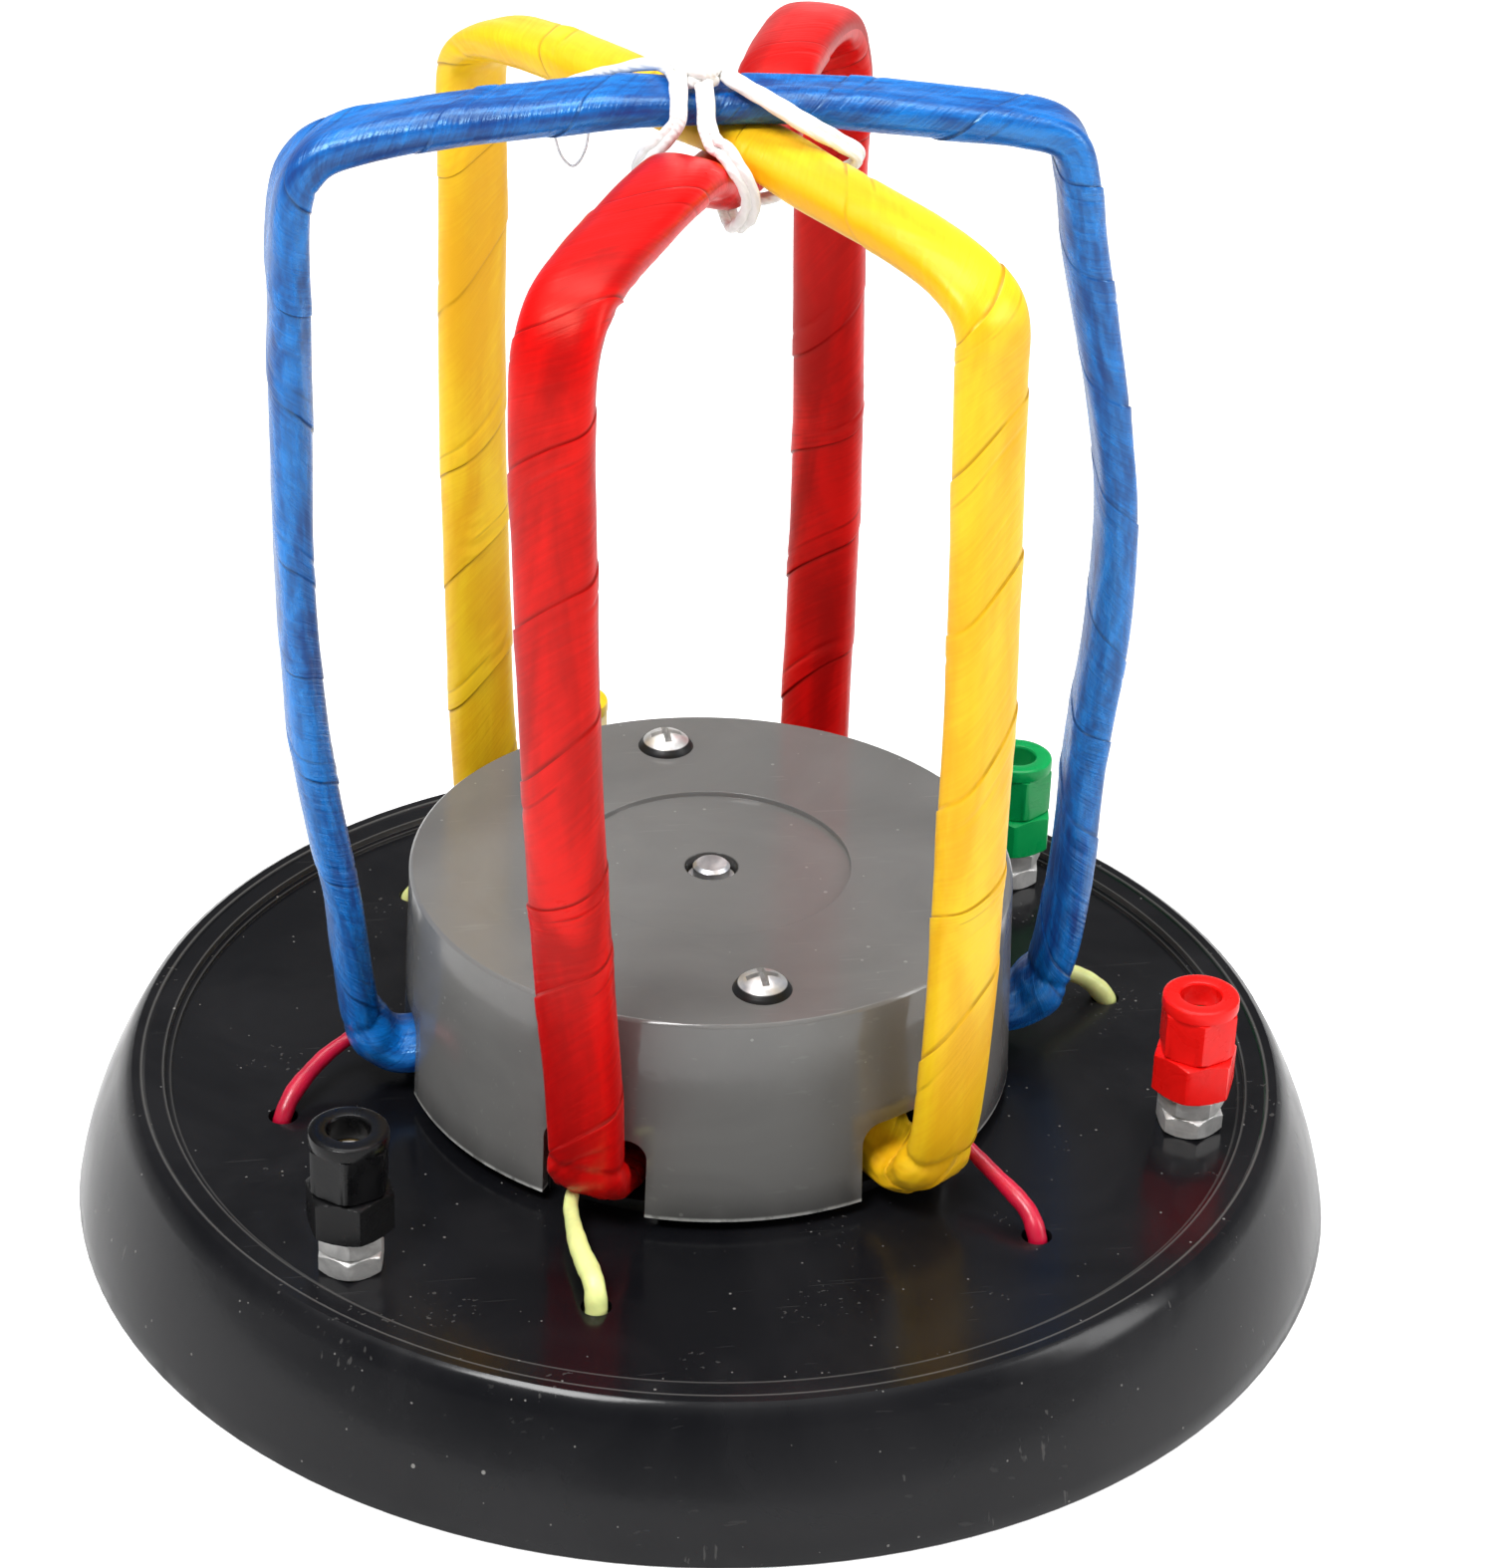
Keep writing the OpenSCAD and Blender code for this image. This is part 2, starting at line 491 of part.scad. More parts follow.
module base_housing() {
    skirt_out = [for (i = [0 : skirt_steps]) let (z = i * (rim_h - rim_chamfer) / skirt_steps)
        [skirt_r(z), z]];
    skirt_in = [for (i = [skirt_steps : -1 : 0]) let (z = i * deck_low / skirt_steps)
        [skirt_r(z) - skirt_t, z]];
    color("#1c1c1f") difference() {
        union() {
            rotate_extrude() polygon(concat(skirt_out, [
                [rim_r - rim_chamfer, rim_h], [band_r, rim_h],
                [band_r - band_drop, rim_h - band_drop], [wall_r, rim_h - band_drop],
                [wall_r, deck_h + ledge_h], [deck_r, deck_h + ledge_h], [deck_r, deck_h],
                [pad_out_r, deck_h], [pad_out_r, seat], [pad_in_r, seat], [pad_in_r, deck_h],
                [0, deck_h], [0, deck_low]
            ], skirt_in));
            for (k = cover_screw_az) at_polar(cover_screw_r, k)
                translate([0, 0, cover_top]) cylinder(d = cover_boss_d, h = deck_low - cover_top + eps);
        }
        for (k = cover_screw_az) at_polar(cover_screw_r, k)
            translate([0, 0, cover_top - eps]) cylinder(d = cover_screw_d, h = cover_pilot);
        for (az = hole_az) at_polar(lead_hole_r, az)
            translate([0, 0, deck_low - eps]) cylinder(d = lead_hole_d, h = deck_t + 2 * eps);
        for (az = post_az) at_polar(post_r, az)
            translate([0, 0, deck_low - eps]) cylinder(d = stud_d + hole_clear, h = deck_t + 2 * eps);
        for (az = screw_sides) at_polar(cup_screw_r, az)
            translate([0, 0, deck_low - eps])
                cylinder(d = cup_screw_d + screw_clear, h = seat - deck_low + 2 * eps);
    }
}

cover_screw_az = [for (k = [0 : 2]) post_az[0] + 30 + 120 * k];
cover_pilot = 10;
screw_sides = [cup_screw_az, cup_screw_az + 180];

module bottom_cover() {
    color("#2a2a2d") difference() {
        translate([0, 0, cover_rise])
            cylinder(r = skirt_r(cover_rise) - skirt_t - cover_gap, h = cover_t, $fn = 128);
        for (az = cover_screw_az) at_polar(cover_screw_r, az)
            translate([0, 0, cover_rise - eps])
                cylinder(d = cover_screw_d + screw_clear, h = cover_t + 2 * eps);
    }
}

// Pan heads hang under the cover, clear of the surface below
cover_head_h = cover_rise - 0.4;
cover_shank = 9;
module cover_screws() {
    color("#b9bcc2") for (az = cover_screw_az) at_polar(cover_screw_r, az) {
        translate([0, 0, cover_rise - cover_head_h]) cylinder(d = cover_head_d, h = cover_head_h);
        translate([0, 0, cover_rise - eps]) cylinder(d = cover_screw_d, h = cover_shank);
    }
}

module notch() {
    side_w = notch_w - 2 * notch_corner;
    translate([0, -notch_w / 2, -eps]) cube([notch_cut, notch_w, notch_h - notch_corner + eps]);
    translate([0, -side_w / 2, -eps]) cube([notch_cut, side_w, notch_h + eps]);
    for (y = [-1, 1]) translate([0, y * side_w / 2, notch_h - notch_corner])
        rotate([0, 90, 0]) cylinder(r = notch_corner, h = notch_cut);
}

module coil_cup() {
    color("#8b8c8e") difference() {
        union() {
            rotate_extrude() polygon([
                [cup_foot_r, seat], [cup_top_r, cup_top - cup_edge],
                [cup_top_r - cup_edge, cup_top], [0, cup_top], [0, cup_ceiling],
                [cup_top_r - cup_wall, cup_ceiling], [cup_foot_r - cup_wall, seat]
            ]);
            for (az = screw_sides) at_polar(cup_screw_r, az)
                translate([0, 0, seat]) cylinder(d = pillar_d, h = cup_ceiling - seat + eps);
            translate([0, 0, bush_low]) cylinder(d = boss_d, h = cup_ceiling - bush_low + eps);
        }
        translate([0, 0, recess_floor]) cylinder(d = recess_d, h = recess_depth + eps);
        translate([0, 0, bush_top - eps]) cylinder(d = spindle_hole_d, h = bush_depth + 2 * eps);
        translate([0, 0, bush_low - eps]) cylinder(d = bush_d, h = bush_len + eps);
        for (az = screw_sides) at_polar(cup_screw_r, az)
            translate([0, 0, seat - eps]) cylinder(d = cup_screw_d + screw_clear, h = cup_h + 2 * eps);
        for (k = [0 : notches - 1]) rotate(k * 360 / notches)
            translate([cup_foot_r - notch_cut / 2, 0, seat]) notch();
    }
}

cup_nut_af = 7;
cup_nut_t = 3.2;
cup_washer_t = 0.8;
cup_screw_tail = 1.2;
cross_w = 1.1;
cross_len = 0.55 * cup_head_d;
cross_depth = 1.6;
module cup_screws() {
    head_curve = (cup_head_d * cup_head_d / 4 + cup_head_h * cup_head_h) / (2 * cup_head_h);
    shank_low = deck_low - cup_washer_t - cup_nut_t - cup_screw_tail;
    color("#c9ccd2") for (az = screw_sides) at_polar(cup_screw_r, az) {
        difference() {
            intersection() {
                translate([0, 0, cup_top]) cylinder(d = cup_head_d, h = cup_head_h);
                translate([0, 0, cup_top + cup_head_h - head_curve]) sphere(r = head_curve);
            }
            for (turn = [0, 90]) translate([0, 0, cup_top + cup_head_h - cross_depth / 2 + eps])
                rotate(turn) cube([cross_len, cross_w, cross_depth], center = true);
        }
        translate([0, 0, shank_low]) cylinder(d = cup_screw_d, h = cup_top - shank_low + eps);
    }
}

module cup_nuts() {
    color("#b9bcc2") for (az = screw_sides) at_polar(cup_screw_r, az) {
        translate([0, 0, deck_low - cup_washer_t])
            ring(cup_head_d, cup_screw_d + screw_clear, cup_washer_t);
        translate([0, 0, deck_low - cup_washer_t - cup_nut_t])
            hex_nut(cup_nut_af, cup_screw_d, cup_nut_t - seam);
    }
}

module spindle() {
    groove_top = clip_top + end_play / 2;
    groove_low = clip_top - clip_t - end_play / 2;
    color("#d8dade") rotate_extrude() polygon([
        [0, spindle_low], [spindle_d / 2 - tip_chamfer, spindle_low],
        [spindle_d / 2, spindle_low + tip_chamfer], [spindle_d / 2, groove_low],
        [spindle_d / 2 - clip_groove, groove_low], [spindle_d / 2 - clip_groove, groove_top],
        [spindle_d / 2, groove_top], [spindle_d / 2, bush_top + end_play],
        [thrust_d / 2, bush_top + end_play], [thrust_d / 2, bush_top + end_play + thrust_h],
        [spindle_d / 2, bush_top + end_play + thrust_h], [spindle_d / 2, spindle_tip - tip_chamfer],
        [spindle_d / 2 - tip_chamfer, spindle_tip], [0, spindle_tip]
    ]);
}

module spindle_bush() {
    color("#b88a3a") translate([0, 0, bush_low]) ring(bush_d, spindle_d + 2 * run_gap, bush_len);
}

module spindle_clip() {
    slot_w = spindle_d - 2 * clip_groove - 0.6;
    color("#55585e") translate([0, 0, clip_top - clip_t]) difference() {
        ring(clip_d, spindle_d - 2 * clip_groove + 0.02, clip_t);
        translate([0, -slot_w / 2, -eps]) cube([clip_d, slot_w, clip_t + 2 * eps]);
    }
}

// The winding fills the ribbon sleeve, with a small gap all round
module winding(route, az) {
    cavity = 2 * (ribbon_t + core_gap);
    color("#b5651d") rotate(az) loop_tube(closed_curve(route, coil_steps), [0, 1, 0],
        oval(wrap_w - cavity, wrap_t - cavity, core_sides));
}
module red_winding() winding(red_route, coil_az[0]);
module yellow_winding() winding(yellow_route, coil_az[1]);
module blue_winding() winding(blue_route, coil_az[2]);

// The ribbon sleeve starts and ends under the cup, where its two ends nearly meet
module wrap(route, az, paint) {
    loop = closed_curve(route, coil_steps);
    color(paint) rotate(az) sleeve_tube([for (i = [0 : len(loop) - coil_steps]) loop[i]], [0, 1, 0],
        oval(wrap_w, wrap_t, wrap_sides),
        oval(wrap_w - 2 * ribbon_t, wrap_t - 2 * ribbon_t, wrap_sides));
}
module red_wrap() wrap(red_route, coil_az[0], coil_colour[0]);
module yellow_wrap() wrap(yellow_route, coil_az[1], coil_colour[1]);
module blue_wrap() wrap(blue_route, coil_az[2], coil_colour[2]);

lead_sides = 8;
module lead(route, d, paint) {
    path = [for (p = route) polar(p)];
    color(paint) cord_tube(path, d, lead_sides, cross(path[1] - path[0], [0, 0, 1]));
}
module red_lead_start() lead(red_start_route, pink_d, "#e0245a");
module red_lead_end() lead(red_end_route, pale_d, "#f3f7a8");
module yellow_lead_start() lead(yellow_start_route, pink_d, "#e0245a");
module yellow_lead_end() lead(yellow_end_route, pale_d, "#f3f7a8");
module blue_lead_start() lead(blue_start_route, pink_d, "#e0245a");
module blue_lead_end() lead(blue_end_route, pale_d, "#f3f7a8");

module string_tie() {
    path = open_curve(tie_route, tie_steps);
    color("#f4f2ec") cord_tube(path, string_d, tie_sides, [0, 0, 1]);
}
echo(least_gap_of_string = least_gap(open_curve(tie_route, 4), string_d, 10));

// Binding posts, from the thread up
module post_stud(i) {
    color("#c9ccd2") at_polar(post_r, post_az[i]) difference() {
        translate([0, 0, stud_low]) cylinder(d = stud_d, h = stud_top - stud_low);
        translate([0, 0, stud_top - socket_depth]) cylinder(d = socket_d, h = socket_depth + eps);
    }
}
module post_nuts(i) {
    color("#c9ccd2") at_polar(post_r, post_az[i]) for (k = [0, 1])
        translate([0, 0, nut_base + k * nut_t]) rotate(nut_twist[i][k] - post_az[i])
            hex_nut(nut_af, stud_d, nut_t - seam);
}
module post_collar(i) {
    color(post_colour[i]) at_polar(post_r, post_az[i]) translate([0, 0, collar_base])
        rotate(collar_twist[i] - post_az[i]) hex_nut(collar_af, stud_d + thread_gap, collar_h);
}
module post_clamp(i) {
    color("#c9ccd2") at_polar(post_r, post_az[i]) translate([0, 0, cap_base + clamp_play])
        ring(clamp_d, stud_d + hole_clear, clamp_t);
}
module post_insert(i) {
    color("#b88a3a") at_polar(post_r, post_az[i]) translate([0, 0, insert_base])
        ring(insert_d, stud_d + 2 * thread_gap, insert_len);
}
module post_cap(i) {
    color(post_colour[i]) at_polar(post_r, post_az[i]) rotate(cap_twist[i] - post_az[i])
    difference() {
        union() {
            translate([0, 0, cap_base]) hex_block(cap_af, cap_h - cap_head_h);
            translate([0, 0, cap_base + cap_h - cap_head_h - eps])
                cylinder(d = cap_head_d, h = cap_head_h + eps);
        }
        translate([0, 0, cap_base - eps]) cylinder(d = clamp_room_d, h = clamp_room_h + eps);
        translate([0, 0, cap_base]) cylinder(d = insert_d, h = insert_top - cap_base);
        translate([0, 0, cap_base]) cylinder(d = cap_hole_d, h = cap_h + eps);
    }
}
module post_backnut(i) {
    color("#b9bcc2") at_polar(post_r, post_az[i]) {
        translate([0, 0, washer_low]) ring(washer_d, stud_d, washer_t);
        translate([0, 0, backnut_low]) hex_nut(nut_af, stud_d, nut_t);
    }
}
module post_lug(i) {
    color("#d9c27a") at_polar(post_r, post_az[i]) translate([0, 0, lug_low]) difference() {
        union() {
            cylinder(d = lug_ring_d, h = lug_t);
            translate([-lug_reach, -lug_tab_w[i] / 2, 0]) cube([lug_reach, lug_tab_w[i], lug_t]);
        }
        translate([0, 0, -eps]) cylinder(d = stud_d, h = lug_t + 2 * eps);
    }
}

base_housing();
bottom_cover();
cover_screws();
coil_cup();
cup_screws();
cup_nuts();
spindle();
spindle_bush();
spindle_clip();
red_winding();
yellow_winding();
blue_winding();
red_wrap();
yellow_wrap();
blue_wrap();
red_lead_start();
red_lead_end();
yellow_lead_start();
yellow_lead_end();
blue_lead_start();
blue_lead_end();
string_tie();
post_stud(0);  // red_post_stud
post_nuts(0);  // red_post_nuts
post_collar(0);  // red_post_collar
post_clamp(0);  // red_post_clamp
post_insert(0);  // red_post_insert
post_cap(0);  // red_post_cap
post_backnut(0);  // red_post_backnut
post_lug(0);  // red_post_lug
post_stud(1);  // green_post_stud
post_nuts(1);  // green_post_nuts
post_collar(1);  // green_post_collar
post_clamp(1);  // green_post_clamp
post_insert(1);  // green_post_insert
post_cap(1);  // green_post_cap
post_backnut(1);  // green_post_backnut
post_lug(1);  // green_post_lug
post_stud(2);  // yellow_post_stud
post_nuts(2);  // yellow_post_nuts
post_collar(2);  // yellow_post_collar
post_clamp(2);  // yellow_post_clamp
post_insert(2);  // yellow_post_insert
post_cap(2);  // yellow_post_cap
post_backnut(2);  // yellow_post_backnut
post_lug(2);  // yellow_post_lug
post_stud(3);  // black_post_stud
post_nuts(3);  // black_post_nuts
post_collar(3);  // black_post_collar
post_clamp(3);  // black_post_clamp
post_insert(3);  // black_post_insert
post_cap(3);  // black_post_cap
post_backnut(3);  // black_post_backnut
post_lug(3);  // black_post_lug
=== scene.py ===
import json
import math
from functools import reduce
import bpy
import numpy as np
from mathutils import Matrix, Vector


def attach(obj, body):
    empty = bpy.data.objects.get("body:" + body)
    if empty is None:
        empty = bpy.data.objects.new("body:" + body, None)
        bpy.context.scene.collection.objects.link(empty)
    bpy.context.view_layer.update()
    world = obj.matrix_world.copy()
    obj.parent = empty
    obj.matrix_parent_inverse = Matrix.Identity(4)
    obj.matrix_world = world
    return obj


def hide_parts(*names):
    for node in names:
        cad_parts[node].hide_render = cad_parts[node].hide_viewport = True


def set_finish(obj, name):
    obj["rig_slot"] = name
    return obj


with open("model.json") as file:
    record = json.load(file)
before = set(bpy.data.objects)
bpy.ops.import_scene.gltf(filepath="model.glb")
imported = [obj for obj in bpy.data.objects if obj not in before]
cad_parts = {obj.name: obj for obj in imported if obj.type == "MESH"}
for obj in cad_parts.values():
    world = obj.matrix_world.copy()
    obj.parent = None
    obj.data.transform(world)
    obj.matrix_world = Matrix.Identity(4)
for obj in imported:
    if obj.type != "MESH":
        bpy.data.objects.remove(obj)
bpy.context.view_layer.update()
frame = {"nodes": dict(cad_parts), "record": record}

rng = np.random.default_rng(11)
mm = 0.001
print("frame loaded:", len(frame["nodes"]), "nodes")

# Lengths below are in millimetres, in the frame's own axes, unless a note says metres.


def inScene(name, data):
    # a new object made from its data and linked to the scene
    obj = bpy.data.objects.new(name, data)
    bpy.context.scene.collection.objects.link(obj)
    return obj


# Camera: roll is in radians, and the lens goes with the sensor's long side
cameraView = {"place": (-94.01, -533.17, 379.88), "aim": (6.06, -1.07, 70.42), "roll": 0.036,
              "lens": 93.09, "sensor": 36, "nearest": 10}


def addCamera(values):
    # looks from place to aim, with the picture's up turned round the line of sight by roll
    place = Vector(values["place"]) * mm
    sight = (Vector(values["aim"]) * mm - place).normalized()
    right = sight.cross(Vector((0, 0, 1))).normalized()
    up = right.cross(sight)
    c, s = math.cos(values["roll"]), math.sin(values["roll"])
    right, up = right * c + up * s, up * c - right * s
    data = bpy.data.cameras.new("camera")
    data.sensor_width = values["sensor"]
    data.lens = values["lens"]
    data.clip_start = values["nearest"] * mm
    obj = inScene("camera", data)
    axes = Matrix((right, up, -sight)).transposed().to_4x4()
    obj.matrix_world = Matrix.Translation(place) @ axes
    bpy.context.scene.camera = obj


addCamera(cameraView)


# Meshes from arrays

def meshObject(name, points, faces, body, slot, replaced, uv=None):
    # points in mm and rows of vertex numbers (a row may repeat its last number to make a triangle);
    # the rows are turned round if the enclosed volume comes out negative
    a, b, c, d = (points[faces[:, k]] for k in range(4))
    volume = np.einsum("ij,ij->", a, np.cross(b, c)) + np.einsum("ij,ij->", a, np.cross(c, d))
    order = np.arange(4)[::-1 if volume < 0 else 1]
    faces = faces[:, order]
    same = faces == np.roll(faces, 1, axis=1)
    counts = 4 - same.sum(1)
    loops = faces[~same]
    mesh = bpy.data.meshes.new(name)
    mesh.vertices.add(len(points))
    mesh.vertices.foreach_set("co", (points * mm).ravel())
    mesh.loops.add(len(loops))
    mesh.loops.foreach_set("vertex_index", loops)
    mesh.polygons.add(len(faces))
    mesh.polygons.foreach_set("loop_start", np.concatenate([[0], np.cumsum(counts)[:-1]]))
    mesh.polygons.foreach_set("loop_total", counts)
    mesh.polygons.foreach_set("use_smooth", np.ones(len(faces), bool))
    if uv is not None:
        layer = mesh.uv_layers.new(name="along")
        layer.data.foreach_set("uv", uv[:, order][~same].ravel())
    mesh.update(calc_edges=True)
    mesh.validate()
    obj = inScene(name, mesh)
    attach(obj, body)
    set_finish(obj, slot)
    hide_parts(replaced)
    return obj


def gridRows(rows, cols, closeRows=False):
    # four-cornered faces of a grid of rows x cols points, joined round across the columns, and
    # along the rows too where they are closed
    i, j = np.meshgrid(np.arange(rows - (not closeRows)), np.arange(cols), indexing="ij")
    i, j = i.ravel(), j.ravel()
    i2, j2 = (i + 1) % rows, (j + 1) % cols
    return np.stack([i * cols + j, i2 * cols + j, i2 * cols + j2, i * cols + j2], 1)


def fan(first, cols, centre):
    # triangles from a ring of cols points to one centre point
    j = np.arange(cols)
    middle = np.full(cols, centre)
    return np.stack([first + j, first + (j + 1) % cols, middle, middle], 1)


def unit(v):
    # each vector over its own length
    return v / np.linalg.norm(v, axis=-1, keepdims=True)


def ease(x):
    # nought up to 0, one from 1 on, and x * x * (3 - 2 * x) between
    x = np.clip(x, 0, 1)
    return x * x * (3 - 2 * x)


def bell(x, middle, width):
    # e to the minus square of the distance from the middle over the width
    return np.exp(-((x - middle) / width) ** 2)


def turned(points, angle):
    # turned about the upright axis: x = x cos - y sin, y = x sin + y cos
    c, s = math.cos(angle), math.sin(angle)
    return points @ np.array([[c, s, 0], [-s, c, 0], [0, 0, 1]])


def smoothCurve(points, steps, closed):
    # Catmull-Rom: each stretch is a cubic through its two ends, with slopes from the neighbours
    # and, on an open curve, from its end stretches carried straight on
    p = np.asarray(points, float)
    if not closed:
        p = np.concatenate([2 * p[:1] - p[1:2], p, 2 * p[-1:] - p[-2:-1]])
    a, b, c, d = (np.roll(p, k, axis=0)[:, None] for k in (1, 0, -1, -2))
    u = (np.arange(steps) / steps)[:, None]
    out = 0.5 * (2 * b + (c - a) * u + (2 * a - 5 * b + 4 * c - d) * u * u
                 + (3 * b - a - 3 * c + d) * u ** 3)
    return out.reshape(-1, 3) if closed else np.concatenate([out[1:-2].reshape(-1, 3), p[-2:-1]])


def lengthsAlong(p):
    # running length at each point, starting from nought
    return np.concatenate([[0], np.cumsum(np.linalg.norm(np.diff(p, axis=0), axis=1))])


def atLengths(p, where):
    # points at given running lengths, by straight interpolation
    run = lengthsAlong(p)
    return np.stack([np.interp(where, run, p[:, k]) for k in range(3)], -1)


def carriedSides(t):
    # side vectors across a path that turn as little as they can from one point to the next
    start = np.cross(t[0], (0.0, 0.0, 1.0))
    side = start if np.linalg.norm(start) > 0.1 else np.cross(t[0], (0.0, 1.0, 0.0))
    out = []
    for v in t:
        side = unit(side - (side @ v) * v)
        out.append(side)
    return np.array(out)


# A tube's rounded end: how far round its rings stand, and its depth as a share of the radius
tubeEnd = {"degrees": (18, 40, 62, 80), "depth": 0.6}


def tubeGrid(path, radius, sides):
    # circles of the given radii carried along a path; past each end the radius falls by a cosine
    # while the place goes on by a sine, and a point closes it
    turns = np.radians(tubeEnd["degrees"])
    further = tubeEnd["depth"] * np.sin(turns)[:, None]
    radius = np.broadcast_to(radius, len(path))
    t = unit(np.gradient(path, axis=0))
    side = carriedSides(t)
    up = np.cross(t, side)
    path = np.concatenate([path[0] - t[0] * radius[0] * further[::-1], path,
                           path[-1] + t[-1] * radius[-1] * further])
    radius = np.concatenate([radius[0] * np.cos(turns[::-1]), radius, radius[-1] * np.cos(turns)])
    added = (len(turns), len(turns)), (0, 0)
    side, up = (np.pad(v, added, mode="edge") for v in (side, up))
    angle = 2 * np.pi * np.arange(sides)[:, None] / sides
    ring = np.cos(angle) * side[:, None] + np.sin(angle) * up[:, None]
    points = path[:, None] + ring * radius[:, None, None]
    rows = len(path)
    points = np.concatenate([points.reshape(-1, 3), path[:1], path[-1:]])
    faces = np.concatenate([gridRows(rows, sides), fan(0, sides, rows * sides)[:, [1, 0, 2, 3]],
                            fan((rows - 1) * sides, sides, rows * sides + 1)])
    return points, faces


def joined(parts):
    # several (points, faces) made one
    points, faces, base = [], [], 0
    for p, f in parts:
        points.append(p)
        faces.append(f + base)
        base += len(p)
    return np.concatenate(points), np.concatenate(faces)


# Coils: the same stations as the solids, out from the axis, sideways and up. A stray is how far,
# how many times round the coil and from where the ribbon's turns are unevenly spaced
coilShape = {
    "seat": 22.3, "cageTop": 183.5, "cageRadius": 60.0, "notchReach": 46.2,
    "width": 12.0, "thickness": 6.2, "tiedThickness": 5.0, "layerGap": 0.25, "footGap": 0.3,
    "inset": 0.12, "squeezeReach": 22.0, "squeezeAbove": 100, "sectionPower": 0.76,
    "sides": 56, "rowsPerTurn": 52, "bunched": 0.35, "lastRow": 0.992, "steps": 40, "chord": 0.6,
    "strays": ((0.13, 7, 1), (0.09, 11, 0)), "sway": (0.02, 2, 5),
}


def coilHeights(layer):
    # seat, cage radius, notch, and the middle of a layer where the coils cross at the top and
    # under the cup: the layers stack up from each other with a gap
    c = coilShape
    top = c["cageTop"] - c["tiedThickness"] / 2 - (2 - layer) * (c["tiedThickness"] + c["layerGap"])
    low = c["seat"] + c["footGap"] + c["thickness"] / 2 + layer * (c["thickness"] + c["layerGap"])
    return c["seat"], c["cageRadius"], c["notchReach"], top, low


def redRoute():
    # the lowest coil: from under the cup up one side, across the top and down the other
    s, r, n, top, low = coilHeights(0)
    return [
        (-20, 0, low), (1 - n, -2, s + 3.9), (6 - r, -3, s + 6), (1.5 - r, -4, s + 13),
        (-2 - r, -4.8, s + 23), (-4 - r, -5.4, s + 35), (-5 - r, -5.6, s + 52),
        (-4.6 - r, -5.6, s + 72), (-3 - r, -5.5, top - 58), (-r, -5.2, top - 38),
        (0.8 - r, -5.2, top - 22), (-r, -5.3, top - 10), (-r, -5.8, top - 3.2),
        (5 - r, -5.8, top + 3), (14 - r, -5.2, top + 5.4), (-34, -3.8, top + 6),
        (-24, -2, top + 5.8), (-17, -0.6, top + 3.8), (-11, 0, top + 0.8), (0, 0, top),
        (10, 0, top + 0.9), (15, 0, top + 4), (20, 0, top + 5.8), (30, 0, top + 6),
        (41, 0, top + 5.2), (r - 8, 0, top + 4.4), (r + 0.6, 0, top + 2), (r + 5, 0, top - 4),
        (r + 5.8, 0, top - 13), (r + 5, 0, top - 26), (r + 3.4, 0, top - 46),
        (r + 1.2, 0, top - 66), (r - 1.8, 0, s + 60), (r - 4.6, 0, s + 42), (r - 7.6, 0, s + 26),
        (r - 9, 0, s + 15), (r - 10.4, 0, s + 8), (n - 3, 0, s + 4), (20, 0, low), (0, 0, low),
    ]


def yellowRoute():
    # the middle coil, the same way round and with no sideways lean: (out, up)
    s, r, n, top, low = coilHeights(1)
    return [(x, 0, z) for x, z in (
        (-14, low), (-26, low - 2), (-n, s + 4.2), (6 - r, s + 6.6), (2.4 - r, s + 13),
        (0.8 - r, s + 24), (-0.6 - r, s + 40), (-1.7 - r, s + 62), (-2.6 - r, s + 84),
        (-2.6 - r, top - 48), (-2.2 - r, top - 26), (-2.6 - r, top - 14), (-1.4 - r, top - 6.4),
        (4.6 - r, top - 2), (14 - r, top - 0.4), (-32, top + 0.4), (-18, top + 0.4), (-8, top),
        (3, top), (10, top - 0.6), (18, top - 1.6), (28, top - 2.2), (r - 21, top - 3),
        (r - 11, top - 5.2), (r - 5.4, top - 9.6), (r - 4.7, top - 20), (r - 3.6, top - 44),
        (r - 2.5, top - 68), (r - 2.5, s + 62), (r - 2.6, s + 40), (r - 3.4, s + 22),
        (r - 4.8, s + 12), (r - 8, s + 6), (n, s + 4), (26, low - 2), (14, low), (0, low),
    )]


def blueRoute():
    # the highest coil, the same way round: (out, up)
    s, r, n, top, low = coilHeights(2)
    return [(x, 0, z) for x, z in (
        (-14, low), (-25, low - 4), (-36, s + 7), (1 - n, s + 4.4), (9.4 - r, s + 4.6),
        (5.4 - r, s + 9), (4 - r, s + 16), (2.4 - r, s + 32), (-0.6 - r, s + 50),
        (-2.6 - r, s + 68), (-3.4 - r, top - 70), (-3.4 - r, top - 48), (-3.2 - r, top - 28),
        (-2.6 - r, top - 13), (0.4 - r, top - 6.8), (6 - r, top - 4.2), (16 - r, top - 2.4),
        (-32, top - 1.2), (-18, top), (-6, top), (6, top - 0.2), (18, top - 1.4), (30, top - 2.8),
        (r - 19, top - 4.4), (r - 12, top - 7), (r - 9.6, top - 14), (r - 7.8, top - 24),
        (r - 5.4, top - 35), (r - 2.4, top - 49), (r, top - 65), (r + 0.4, s + 74),
        (r - 1.6, s + 50), (r - 2.6, s + 26), (r - 4.6, s + 12), (r - 8, s + 6), (n, s + 4.4),
        (37, s + 6.4), (25, low - 4), (14, low), (0, low),
    )]


